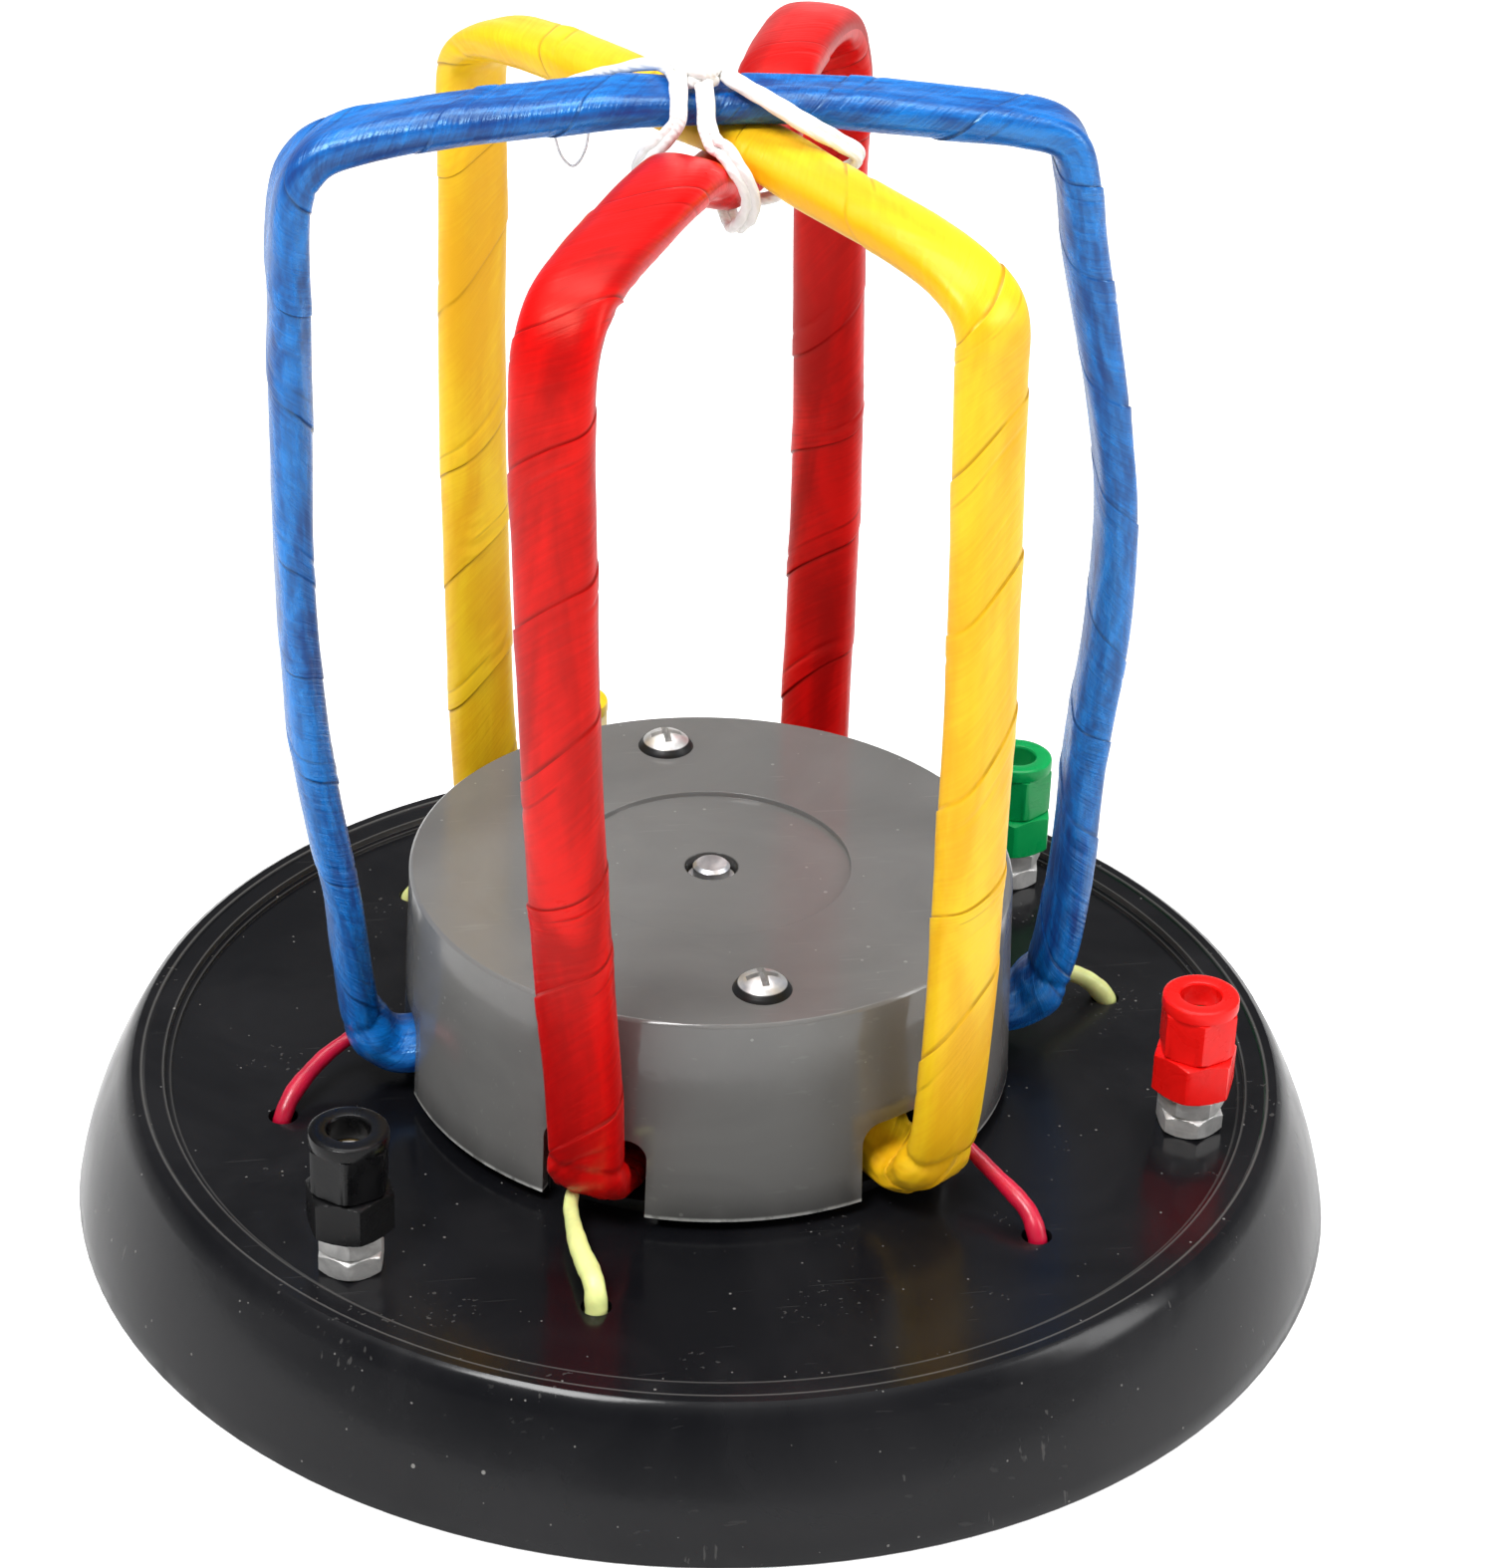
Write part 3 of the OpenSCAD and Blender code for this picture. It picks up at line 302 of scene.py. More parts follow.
# hand is the way the ribbon winds; lip, crease, cuff, pleats and folds are heights in mm
coilLooks = {
    "red": {"route": redRoute, "azimuth": -120, "pitch": 23.0, "hand": 1, "phase": 0.1,
            "lip": 0.24, "crease": 0.26, "cuff": 0.5, "pleats": 0.14, "folds": 0.04},
    "yellow": {"route": yellowRoute, "azimuth": -60, "pitch": 23.5, "hand": 1, "phase": 0.55,
               "lip": 0.22, "crease": 0.24, "cuff": 0.7, "pleats": 0.13, "folds": 0.05},
    "blue": {"route": blueRoute, "azimuth": 0, "pitch": 19.0, "hand": -1, "phase": 0.3,
             "lip": 0.22, "crease": 0.24, "cuff": 0.5, "pleats": 0.13, "folds": 0.2},
}

# Places across the ribbon are shares of its turn from the lip; heights above the seat are in mm
ribbonRelief = {
    "lipMean": 0.75, "lipVaries": 0.35, "lipFall": 0.45,
    "creaseFade": 0.28, "nextShare": 0.35, "nextFade": 0.12, "creaseLines": 34,
    "lineSpread": (0.8, 0.5), "lineTurns": (2, 0.05), "creaseSway": 2.2, "creaseMost": 1.5,
    "creaseLeast": 0.22, "footBend": 13.0, "topBend": 16.0, "topShare": 0.6, "outside": 40,
    "hollow": 0.1, "bendHollow": 0.05, "groove": 0.12, "grooveFade": 0.015,
    "foldTimes": 9, "foldStart": 2, "foldShare": 0.7, "foldAt": 0.16, "foldWidth": 0.02,
    "cuffAt": 7.5, "cuffWidth": 1.7, "neckAt": 10.5, "neckWidth": 0.7, "neckShare": 0.8,
    "ridges": 3, "ridgeSway": 2, "pleats": 11, "pleatSway": 2.5, "pleatFoot": 2, "pleatTop": 9,
}
# the random fields in the order they are drawn: how many waves, their spread and grain in mm
ribbonFields = {"lip": (4, 0.5, 60), "line": (5, 0.8, 50), "patch": (5, 0.9, 45),
                "hollow": (7, 0.7, 60), "bend": (9, 3.0, 40), "ridge": (4, 0.4, 60),
                "pleat": (5, 2.0, 40)}
mapScale = 0.01  # the ribbon's map units for each mm


def rowPhases(rows):
    # places of the grid's rows within one turn of ribbon: partly even and partly by a cosine, so
    # close together at both edges of the ribbon
    u = np.arange(rows) / (rows - 1)
    bunched = coilShape["bunched"]
    return coilShape["lastRow"] * ((0.5 - 0.5 * np.cos(np.pi * u)) * bunched + u * (1 - bunched))


def randomField(length, angle, count, spread, grain):
    # a smooth random field on (length, angle): waves of random direction and phase
    field = np.zeros_like(length)
    for _ in range(count):
        k = rng.normal(0, spread, 2)
        turns = np.round(k[1] * 2)
        start = rng.uniform(0, 2 * np.pi)
        field += np.sin(length * k[0] / grain * 2 * np.pi + angle * turns + start)
    return field / math.sqrt(count)


def ovalPoint(half, angle):
    # half width * sign(cos) * |cos| ** power, and the same with the half thickness and the sine
    c, s = np.cos(angle), np.sin(angle)
    power = coilShape["sectionPower"]
    return (half[0] * np.sign(c) * np.abs(c) ** power, half[1] * np.sign(s) * np.abs(s) ** power)


def turnShare(half, sides):
    # share of the way round the oval at each of the grid's angles, so that a seam runs straight
    # across the flat faces: running length over the whole length round, which is given too
    run = lengthsAlong(np.stack(ovalPoint(half, 2 * np.pi * np.arange(sides + 1) / sides), 1))
    return run / run[-1], run[-1]


def courseAt(path, length):
    # middle of the coil at the running lengths, with the sideways and outward directions: the way
    # along is a short chord, sideways is the y axis squared to it, outward is square to both
    total = lengthsAlong(path)[-1]
    centre, ahead, behind = (atLengths(path, np.mod(length + step * coilShape["chord"], total))
                             for step in (0, 1, -1))
    t = unit(ahead - behind)
    across = np.array((0.0, 1.0, 0.0))
    side = unit(across - (t @ across)[..., None] * t)
    return centre, side, np.cross(t, side)


def ribbonHeight(look, centre, length, angle, around, f):
    # height over the oval, where f is the place across the ribbon. The upper edge stands a lip
    # above the turn before it and sinks back by an ease; creases run nearly along the edge, fade
    # away from it and grow at the foot and the bends. Then come hollows, a groove at the next
    # turn's edge, a second fold, the bunched cuff and its neck at the foot, ridges and pleats
    v = ribbonRelief
    field = {key: randomField(length, angle, *size) for key, size in ribbonFields.items()}
    rise = centre[..., 2] - coilShape["seat"]
    drop = coilShape["cageTop"] - centre[..., 2]
    outside = np.hypot(centre[..., 0], centre[..., 1]) > v["outside"]
    bends = bell(rise, 0, v["footBend"]) + v["topShare"] * bell(drop, 0, v["topBend"]) * outside

    lip = look["lip"] * (v["lipMean"] + v["lipVaries"] * field["lip"])
    height = lip * (1 - ease(f / v["lipFall"]))
    fade = np.exp(-f / v["creaseFade"]) + v["nextShare"] * np.exp(-(1 - f) / v["nextFade"])
    (mean, varies), (sides, slant) = v["lineSpread"], v["lineTurns"]
    lines = v["creaseLines"] * (mean + varies * np.sin(angle * sides + length * slant))
    creases = np.sin(f * lines + v["creaseSway"] * field["line"])
    creases = creases * np.clip(field["patch"], 0, v["creaseMost"])
    height += look["crease"] * fade * creases * (v["creaseLeast"] + bends)
    height += v["hollow"] * field["hollow"] + v["bendHollow"] * bends * field["bend"]
    height -= v["groove"] * np.exp(-(1 - f) / v["grooveFade"])
    second = np.clip(np.sin(around * v["foldTimes"] + angle + v["foldStart"]), 0, 1)
    height -= look["crease"] * v["foldShare"] * second * bell(f, v["foldAt"], v["foldWidth"])
    neck = v["neckShare"] * bell(rise, v["neckAt"], v["neckWidth"])
    height += look["cuff"] * (bell(rise, v["cuffAt"], v["cuffWidth"]) - neck) * outside
    ridges = np.sin(angle * v["ridges"] + v["ridgeSway"] * field["ridge"])
    pleats = np.sin(angle * v["pleats"] + v["pleatSway"] * field["pleat"])
    low = np.clip(rise / v["pleatFoot"], 0, 1) * bell(rise, 0, v["pleatTop"]) * outside
    return height + look["folds"] * ridges + look["pleats"] * low * pleats


def wrappedCoil(name, look):
    # a rounded oval carried round the closed route. The grid is sheared so that its rows follow the
    # ribbon's edge: running length = (turn + phase + hand * share of the way round + stray) * pitch
    shape = coilShape
    path = smoothCurve(look["route"](), shape["steps"], True)
    path = np.concatenate([path, path[:1]])
    total = lengthsAlong(path)[-1]
    turns = int(round(total / look["pitch"]))
    rows, sides = shape["rowsPerTurn"], shape["sides"]
    phase = rowPhases(rows)
    place = (np.arange(turns)[:, None] + phase).ravel()
    half = shape["width"] / 2 - shape["inset"], shape["thickness"] / 2 - shape["inset"]
    share, wide = turnShare(half, sides)
    wound = place[:, None] + look["phase"] + look["hand"] * share[:-1]
    angle = np.broadcast_to(2 * np.pi * np.arange(sides) / sides, wound.shape)
    around = 2 * np.pi * wound / turns
    stray = sum(far * np.sin(around * times + start) for far, times, start in shape["strays"])
    far, across, times = shape["sway"]
    length = (wound + stray + far * np.sin(angle * across + around * times)) * total / turns
    f = np.broadcast_to(np.tile(phase, turns)[:, None], length.shape)

    centre, side, up = courseAt(path, length)
    reach = np.hypot(centre[..., 0], centre[..., 1]) / shape["squeezeReach"]
    tied = (1 - shape["tiedThickness"] / shape["thickness"]) * (1 - np.clip(reach, 0, 1) ** 2) ** 2
    half = half[0], half[1] * (1 - tied * (centre[..., 2] > shape["squeezeAbove"]))
    out = unit(np.stack([np.cos(angle) / half[0], np.sin(angle) / half[1]], -1))
    height = ribbonHeight(look, centre, length, angle, around, f)
    oval = np.stack(ovalPoint(half, angle), -1) + out * height[..., None]
    points = centre + side * oval[..., :1] + up * oval[..., 1:]
    points = turned(points.reshape(-1, 3), math.radians(look["azimuth"]))

    # faces: the last column joins the first of the turn that follows on that side
    count = turns * rows
    i, k = (v.ravel() for v in np.meshgrid(np.arange(count), np.arange(sides), indexing="ij"))
    step = rows * look["hand"] * (k == sides - 1)
    a, b = i * sides + k, (i + 1) % count * sides + k
    d, c = (((row + step) % count) * sides + (k + 1) % sides for row in (i, i + 1))
    # the map's first way is millimetres along the ribbon's turn, the second the place across it
    place = np.append(place, turns)
    along = np.stack([share[k], share[k], share[k + 1], share[k + 1]], 1) * wide
    across = np.stack([place[i], place[i + 1], place[i + 1], place[i]], 1) * look["pitch"]
    return meshObject(name + "_ribbon_coil", points, np.stack([a, b, c, d], 1), "base",
                      name + "_ribbon", name + "_wrap", np.stack([along, across], -1) * mapScale)


# Leads: the same routes as the solids. A run is its sleeve, hole, lug's direction (past a whole
# turn where it goes the long way), lane's radius, and the stations above the deck as (out from the
# cage's radius, direction, up from the seat)
postRadius = 77.5
leadShape = {
    "holeRadius": 68.5, "holeTurn": 7.5, "deck": 20.3, "underside": 17.9, "lugLow": 16.1,
    "play": 0.1, "laneHeight": 9.5, "laneStep": 15, "lugReach": 7.5, "pink": 2.8, "pale": 3.2,
    "taper": 16.0, "thin": {"pink": 0.8, "pale": 0.66}, "full": 1.03, "steps": 10, "sides": 24,
    "wavers": ((0.03, 0.9), (0.02, 2.3)),
}
leadRuns = {
    "red_lead_start": ("pink", 1, -21.4, 64, ((1.5, 65, 8), (4.5, 66.5, 3.5))),
    "yellow_lead_start": ("pink", 5, 458.6, 52,
                          ((-7.8, 310.2, 5), (-3.5, 309.8, 3.4), (5.2, 308.4, 1))),
    "blue_lead_start": ("pink", 3, 38.6, 58, ((-4, 178, 5), (1, 181, 3), (6, 185.4, 0.9))),
    "red_lead_end": ("pale", 4, 222.6, 64,
                     ((-10.2, 237.2, 3), (-7, 238.6, 2.2), (-1, 242.4, 0.8), (6.5, 246.6, 1))),
    "yellow_lead_end": ("pale", 2, 214.6, 64, ((-3, 124, 8), (3, 126, 3.4))),
    "blue_lead_end": ("pale", 0, -141.4, 58, ((-4, 6.4, 8), (1, 7.6, 4.4), (5.5, 8, 1.4))),
}


def underDeck(fromAz, toAz, lane, z):
    # down through the hole, round in its lane and out to the lug
    v = leadShape
    turns = max(1, math.ceil(abs(toAz - fromAz) / v["laneStep"]))
    path = [(v["holeRadius"], fromAz, v["deck"]), (v["holeRadius"], fromAz, v["underside"]),
            (v["holeRadius"] - 2, fromAz, z), (lane + 2, fromAz, z - 0.5)]
    path += [(lane, fromAz + (toAz - fromAz) * i / turns, v["laneHeight"])
             for i in range(turns + 1)]
    return path + [(lane + 1.5, toAz, z - 1), (lane + 4, toAz, z),
                   (postRadius - v["lugReach"], toAz, z)]


def sleevedLead(name, kind, hole, lug, lane, above):
    # a soft round tube: thinner where it leaves the ribbon, easing to its full size, and its
    # radius wavers a little along its length
    v = leadShape
    route = [(coilShape["cageRadius"] + out, az, coilShape["seat"] + up) for out, az, up in above]
    route += underDeck(hole * 60 + v["holeTurn"], lug, lane, v["lugLow"] - v["play"] - v[kind] / 2)
    r, az, z = np.array(route, float).T
    stations = np.stack([r * np.cos(np.radians(az)), r * np.sin(np.radians(az)), z], 1)
    path = smoothCurve(stations, v["steps"], False)
    along = lengthsAlong(path)
    thin = v["thin"][kind]
    grow = thin + (v["full"] - thin) * ease(along / v["taper"])
    (slow, slowRate), (quick, quickRate) = v["wavers"]
    waver = slow * np.sin(along * slowRate + len(name)) + quick * np.sin(along * quickRate)
    points, faces = tubeGrid(path, v[kind] / 2 * grow * (1 + waver), v["sides"])
    obj = meshObject(name.replace("_lead", "_sleeved_lead"), points, faces, "base",
                     kind + "_sleeve", name)
    return obj


leads = [sleevedLead(name, *run) for name, run in leadRuns.items()]
print("leads made:", len(leads))

coils = {name: wrappedCoil(name, look) for name, look in coilLooks.items()}
print("coils made:", {name: len(obj.data.polygons) for name, obj in coils.items()})

# String: the same route as the solid's, with heights above the coils' top and below the red coil.
# A knot loop is its turn, tilt and half width; a waver is a share and its rate along the string
stringShape = {
    "strand": 1.5, "apart": 0.66, "gapWaver": (0.12, 0.35), "strandWaver": (0.06, 1.7),
    "sides": 16, "steps": 8, "knot": (-5.3, -2.2, 185.3), "knotThick": 1.15, "loopPoints": 49,
    "knotLoops": ((0.3, 0.5, 2.3), (1.7, -0.4, 2.1), (2.6, 0.3, 1.9)),
    "loopDeep": 1.3, "loopHigh": 0.9, "loopTilts": 3, "loopUp": 0.3, "thread": 0.44,
    "threadSides": 8,
    "threadRoute": ((-24.4, 8.8, 180.4), (-24.6, 9.6, 176), (-23.6, 9, 170.6), (-21.6, 8.6, 168.4),
                    (-19.8, 9, 170.8), (-19.2, 9.4, 176), (-19.4, 8.8, 179.4)),
}


def tieRoute():
    # round the crossing from one end of the string to the other
    high = coilShape["cageTop"]
    low = coilHeights(0)[3] - coilShape["tiedThickness"] / 2
    return [
        (-25, 8.6, high - 3.7), (-20.5, 8.2, high - 1.9), (-14.5, 7.2, high - 0.1),
        (-10, 4, high + 1.6), (-8.6, -0.6, high + 1.9), (-8.9, -5.4, high + 1),
        (-9.4, -8.2, high - 2.5), (-11.2, -7.4, high - 5.6), (-13, -4.9, low + 7),
        (-13.6, -1, low + 2.6), (-10.5, 0.4, low - 1), (-5, 0.4, low - 1.8), (0, 0, low - 1.8),
        (5, -1.6, low - 1.4), (8.6, -3.4, low + 1.4), (12, -5.8, low + 3.4), (15, -8.4, low + 5.6),
        (16, -10.2, low + 8), (13, -10.2, high - 5.4), (8.4, -9.9, high - 2.8),
        (3.6, -7.6, high - 0.2), (-0.6, -4, high + 1.5), (-2, 0.4, high + 1.8),
        (-1.8, 5, high + 1.2), (-0.4, 9.8, high - 1.3), (0.8, 14, high - 5.4),
        (-0.1, 16.8, low + 6.2), (0, 15.4, low + 1.4), (0.2, 10, low - 3), (0, 4, low - 4.9),
        (-0.2, -4, low - 4.7), (-0.2, -9.4, low - 1.9), (-0.1, -12.6, low), (0, -15.4, low + 3.2),
        (-0.9, -17.8, low + 6.6), (-2.5, -18.3, high - 6), (-4, -16.4, high - 4),
        (-4.9, -12.8, high - 4.2), (-5.4, -9.4, high - 2.9), (-5.3, -6.4, high + 0.6),
        (-5.2, -2.4, high + 1.7),
    ]


def stringTie(v):
    # two round strands laid side by side along the route, a knot of three crossed loops where the
    # strands meet, and a thin thread that hangs in a loop behind the blue coil
    path = smoothCurve(tieRoute(), v["steps"], False)
    t = unit(np.gradient(path, axis=0))
    out = unit(path - np.array((0.0, 0.0, path[:, 2].mean())))
    flat = unit(np.cross(t, out))
    run = lengthsAlong(path)
    (gap, gapRate), (swell, swellRate) = v["gapWaver"], v["strandWaver"]
    parts = []
    for sign in (-1, 1):
        offset = flat * (sign * v["apart"] * (1 + gap * np.sin(run * gapRate)))[:, None]
        radius = v["strand"] / 2 * (1 + swell * np.sin(run * swellRate + sign))
        parts.append(tubeGrid(path + offset, radius, v["sides"]))
    a = np.linspace(0, 2 * np.pi, v["loopPoints"])
    for turn, tilt, wide in v["knotLoops"]:
        lift = v["loopHigh"] * np.sin(a + tilt * v["loopTilts"]) + v["loopUp"]
        loop = np.stack([wide * np.cos(a), v["loopDeep"] * np.sin(a), lift], 1)
        parts.append(tubeGrid(turned(loop, turn) + v["knot"], v["strand"] / 2 * v["knotThick"],
                              v["sides"]))
    thread = smoothCurve(v["threadRoute"], v["steps"], False)
    parts.append(tubeGrid(thread, v["thread"] / 2, v["threadSides"]))
    return meshObject("string_lashing", *joined(parts), "base", "string", "string_tie")


stringObj = stringTie(stringShape)
print("string made")

# Binding posts: sizes, directions and turns of the hexagons in degrees, as in the solids
postShape = {
    "stud": 6.0, "nutAcross": 9.2, "nutHeight": 3.6, "nutBase": 20.3, "nutGap": 0.01,
    "nutCone": 0.75, "collarAcross": 11.8, "collarHeight": 7.0, "collarCone": 0.5,
    "collarPlay": 0.05, "capAcross": 10.8, "capHeight": 9.8, "headDiameter": 11.9,
    "headHeight": 2.2, "capHole": 6.4, "capGap": 0.1, "insert": 8.2, "insertBase": 35.7,
    "insertTop": 40.3, "room": 9.2, "around": 96, "splitAngle": 28,
}
postTurns = {
    "red": {"azimuth": -21.4, "cap": 22, "collar": 5, "nuts": (30, 50)},
    "green": {"azimuth": 38.6, "cap": 35, "collar": 20, "nuts": (20, 0)},
    "yellow": {"azimuth": 98.6, "cap": 10, "collar": 40, "nuts": (15, 40)},
    "black": {"azimuth": 218.6, "cap": 20, "collar": 38, "nuts": (20, 22)},
}


def hexTurned(stations, across, twist):
    # a closed turned profile, station = (radius limit, height, held to the hexagon or not):
    # radius(angle) = the smaller of the limit and the hexagon's half width / cos(angle from the
    # nearest flat's middle), with a corner at the twist
    around = postShape["around"]
    a = 2 * np.pi * np.arange(around) / around
    fromFlat = np.mod(a - math.radians(twist), np.pi / 3) - np.pi / 6
    hexagon = across / 2 / np.cos(fromFlat)
    limit, z, held = np.array(stations, float).T[:, :, None]
    r = np.where(held > 0, np.minimum(limit, hexagon), limit)
    points = np.stack([r * np.cos(a), r * np.sin(a), z + 0 * r], -1).reshape(-1, 3)
    return points, gridRows(len(stations), around, closeRows=True)


# nuts: chamfer of the bore, round land as a share of the half width, and small roundings
hexEdge = {"bore": 0.25, "land": 0.97, "inner": 0.3, "step": 0.03, "proud": 0.02,
           "cuts": (0.25, 0.5, 0.75, 1)}


def chamferedHex(across, bore, low, high, cone, twist):
    # a nut: both faces are chamfered by a cone that leaves a round land inside the corners. The
    # stations (radius, height from the face, held) run out from the bore, and back at the top
    e = hexEdge
    land = across / 2 * e["land"]
    corner = across / 2 / math.cos(math.pi / 6)
    rise, corner = (corner - land) * cone, corner + e["proud"]
    edge = [(bore / 2, e["bore"], 0), (bore / 2 + e["bore"], 0, 0), (land - e["inner"], 0, 0),
            (land, e["step"], 1)]
    edge += [(land + (corner - land) * k, rise * k, 1) for k in e["cuts"]]
    edge += [(corner, rise + e["proud"], 1)]
    stations = [(r, low + h, held) for r, h, held in edge]
    stations += [(r, high - h, held) for r, h, held in edge[::-1]]
    return hexTurned(stations, across, twist)


def screwCap(v, base, twist):
    # from the insert's bore out below, up the hexagon, round the head and down the plug hole, with
    # small roundings at the edges
    top = base + v["capHeight"]
    neck = top - v["headHeight"]
    corner = v["capAcross"] / 2 / math.cos(math.pi / 6)
    insert, room, head, hole = (v[key] / 2 for key in ("insert", "room", "headDiameter", "capHole"))
    stations = [(insert, v["insertBase"], 0), (room, v["insertBase"], 0), (room, base + 0.1, 0),
                (room + 0.1, base, 0), (corner - 1.1, base, 1), (corner - 0.5, base + 0.12, 1),
                (corner + 0.02, base + 0.45, 1), (corner + 0.02, neck - 0.35, 1),
                (corner - 0.1, neck - 0.12, 1), (head - 0.2, neck, 0), (head - 0.04, neck + 0.1, 0),
                (head, neck + 0.3, 0), (head, top - 0.55, 0), (head - 0.1, top - 0.25, 0),
                (head - 0.35, top - 0.06, 0), (head - 0.7, top, 0), (hole + 0.45, top, 0),
                (hole + 0.15, top - 0.12, 0), (hole, top - 0.4, 0), (hole, v["insertTop"], 0),
                (insert, v["insertTop"], 0)]
    return hexTurned(stations, v["capAcross"], twist)


def bindingPost(colour, turns):
    # deck nuts, collar and cap of one post, each of closed turned shapes held to their hexagons
    v = postShape
    az = math.radians(turns["azimuth"])
    centre = postRadius * np.array((math.cos(az), math.sin(az), 0))
    low, high, gap = v["nutBase"], v["nutHeight"], v["nutGap"]
    nuts = joined([chamferedHex(v["nutAcross"], v["stud"], low + k * high + gap,
                                low + (k + 1) * high - gap, v["nutCone"], turns["nuts"][k])
                   for k in (0, 1)])
    low = low + 2 * high
    high = low + v["collarHeight"]
    collar = chamferedHex(v["collarAcross"], v["stud"] + v["collarPlay"], low, high,
                          v["collarCone"], turns["collar"])
    cap = screwCap(v, high + v["capGap"], turns["cap"])
    plastic = colour + "_plastic"
    made = [meshObject(colour + piece, points + centre, faces, body, slot, colour + node)
            for piece, (points, faces), body, slot, node in (
                ("_deck_nuts", nuts, "base", "nickel", "_post_nuts"),
                ("_fixed_collar", collar, "base", plastic, "_post_collar"),
                ("_screw_cap", cap, colour + "_cap_body", plastic, "_post_cap"))]
    for obj in made:
        sharp = obj.modifiers.new("edges", "EDGE_SPLIT")
        sharp.split_angle = math.radians(v["splitAngle"])
    return made


posts = [obj for colour, turns in postTurns.items() for obj in bindingPost(colour, turns)]
print("posts made:", len(posts))


class Nodes:
    # makes the nodes of one tree; a term is a number, a colour or another node's output

    def __init__(self, tree):
        self.tree = tree

    def feed(self, socket, term):
        # links an output to the socket, or sets the socket to a value
        if isinstance(term, bpy.types.NodeSocket):
            self.tree.links.new(term, socket)
        else:
            socket.default_value = (*term, 1) if socket.type == "RGBA" else term

    def add(self, kind, *terms, **values):
        # a node's outputs: values go to the settings or inputs of that name, terms by number
        node = self.tree.nodes.new("ShaderNode" + kind)
        for key, value in values.items():
            if hasattr(node, key):
                setattr(node, key, value)
            else:
                self.feed(node.inputs[key.replace("_", " ")], value)
        for number, term in enumerate(terms):
            self.feed(node.inputs[number], term)
        return node.outputs

    def maths(self, operation, *terms):
        # one operation on its terms; below, their sum, their product and the larger of two
        return self.add("Math", *terms, operation=operation)[0]

    def plus(self, a, b):
        return self.maths("ADD", a, b)

    def times(self, a, b):
        return self.maths("MULTIPLY", a, b)

    def most(self, a, b):
        return self.maths("MAXIMUM", a, b)

    def ramp(self, source, low, high, first=0.0, second=1.0):
        # first up to low, second from high on, smooth between
        return self.add("MapRange", source, low, high, first, second,
                        interpolation_type="SMOOTHSTEP")[0]

    def mix(self, factor, a, b):
        # colour a where the factor is nought, b where it is one
        node = self.tree.nodes.new("ShaderNodeMix")
        node.data_type = "RGBA"
        for number, term in ((0, factor), (6, a), (7, b)):
            self.feed(node.inputs[number], term)
        return node.outputs[2]


# Node groups shared by several materials

def newGroup(name, first, values, results):
    # a group with a vector input called first, an input for each value, and results that are
    # plain numbers; gives its nodes, the inputs' values and the results' ends
    tree = bpy.data.node_groups.new(name, "ShaderNodeTree")
    for label, value in {first: (0.0, 0.0, 0.0), **values}.items():
        kind = "NodeSocketVector" if isinstance(value, tuple) else "NodeSocketFloat"
        socket = tree.interface.new_socket(label, in_out="INPUT", socket_type=kind)
        socket.default_value = value
    for label in results:
        tree.interface.new_socket(label, in_out="OUTPUT", socket_type="NodeSocketFloat")
    into, out = tree.nodes.new("NodeGroupInput"), tree.nodes.new("NodeGroupOutput")
    return Nodes(tree), into.outputs, out.inputs


def dustGroup():
    # small pale specks: the nearest cell point is within Size * one of its cell's random numbers,
    # and another of them is below Share
    g, into, out = newGroup("dustSpecks", "Place", {"Cells": 900.0, "Share": 0.12, "Size": 0.2},
                            ["Mask"])
    cells = g.add("TexVoronoi", Vector=into["Place"], Scale=into["Cells"])
    chance, size, _ = g.add("SeparateColor", cells["Color"])
    near = g.maths("LESS_THAN", cells["Distance"], g.times(into["Size"], size))
    rare = g.maths("LESS_THAN", chance, into["Share"])
    g.feed(out["Mask"], g.times(near, rare))
    return g.tree


def ringGroup():
    # a thin circle about the upright axis: 1 - |distance from the axis - Radius| / Width, not
    # below nought, kept between two heights
    g, into, out = newGroup("ringLine", "Place", {"Radius": 0.08, "Width": 0.0003, "Low": 0.0,
                                                  "High": 1.0}, ["Mask"])
    x, y, z = g.add("SeparateXYZ", into["Place"])
    flat = g.add("CombineXYZ", x, y)[0]
    reach = g.add("VectorMath", flat, operation="LENGTH")["Value"]
    off = g.maths("ABSOLUTE", g.maths("SUBTRACT", reach, into["Radius"]))
    near = g.maths("SUBTRACT", 1.0, g.maths("DIVIDE", off, into["Width"]))
    above = g.maths("GREATER_THAN", z, into["Low"])
    below = g.maths("LESS_THAN", z, into["High"])
    g.feed(out["Mask"], g.times(g.most(near, 0.0), g.times(above, below)))
    return g.tree


def smudgeGroup():
    # broad and fine clouds, for wiped and handled gloss
    g, into, out = newGroup("smudges", "Place", {"Broad": 30.0, "Fine": 400.0}, ["Broad", "Fine"])
    for label, detail, bent in (("Broad", 5.0, 0.6), ("Fine", 4.0, 0.0)):
        cloud = g.add("TexNoise", Vector=into["Place"], Scale=into[label], Detail=detail,
                      Roughness=0.6, Distortion=bent)
        g.feed(out[label], cloud["Fac"])
    return g.tree


def scratchGroup():
    # short streaks: noise stretched along one way, kept only where it is high and where a broad
    # cloud lets it
    g, into, out = newGroup("scratches", "Place", {"Stretch": (30.0, 30.0, 900.0), "Above": 0.68,
                                                   "Where": 0.55}, ["Mask"])
    placed = g.add("VectorMath", into["Place"], into["Stretch"], operation="MULTIPLY")[0]
    lines = g.add("TexNoise", Vector=placed, Scale=1.0, Detail=2.0, Roughness=0.5)
    thin = g.ramp(g.maths("SUBTRACT", lines["Fac"], into["Above"]), 0.0, 0.05)
    cloud = g.add("TexNoise", Vector=into["Place"], Scale=55.0, Detail=2.0)
    there = g.maths("GREATER_THAN", cloud["Fac"], into["Where"])
    g.feed(out["Mask"], g.times(thin, there))
    return g.tree


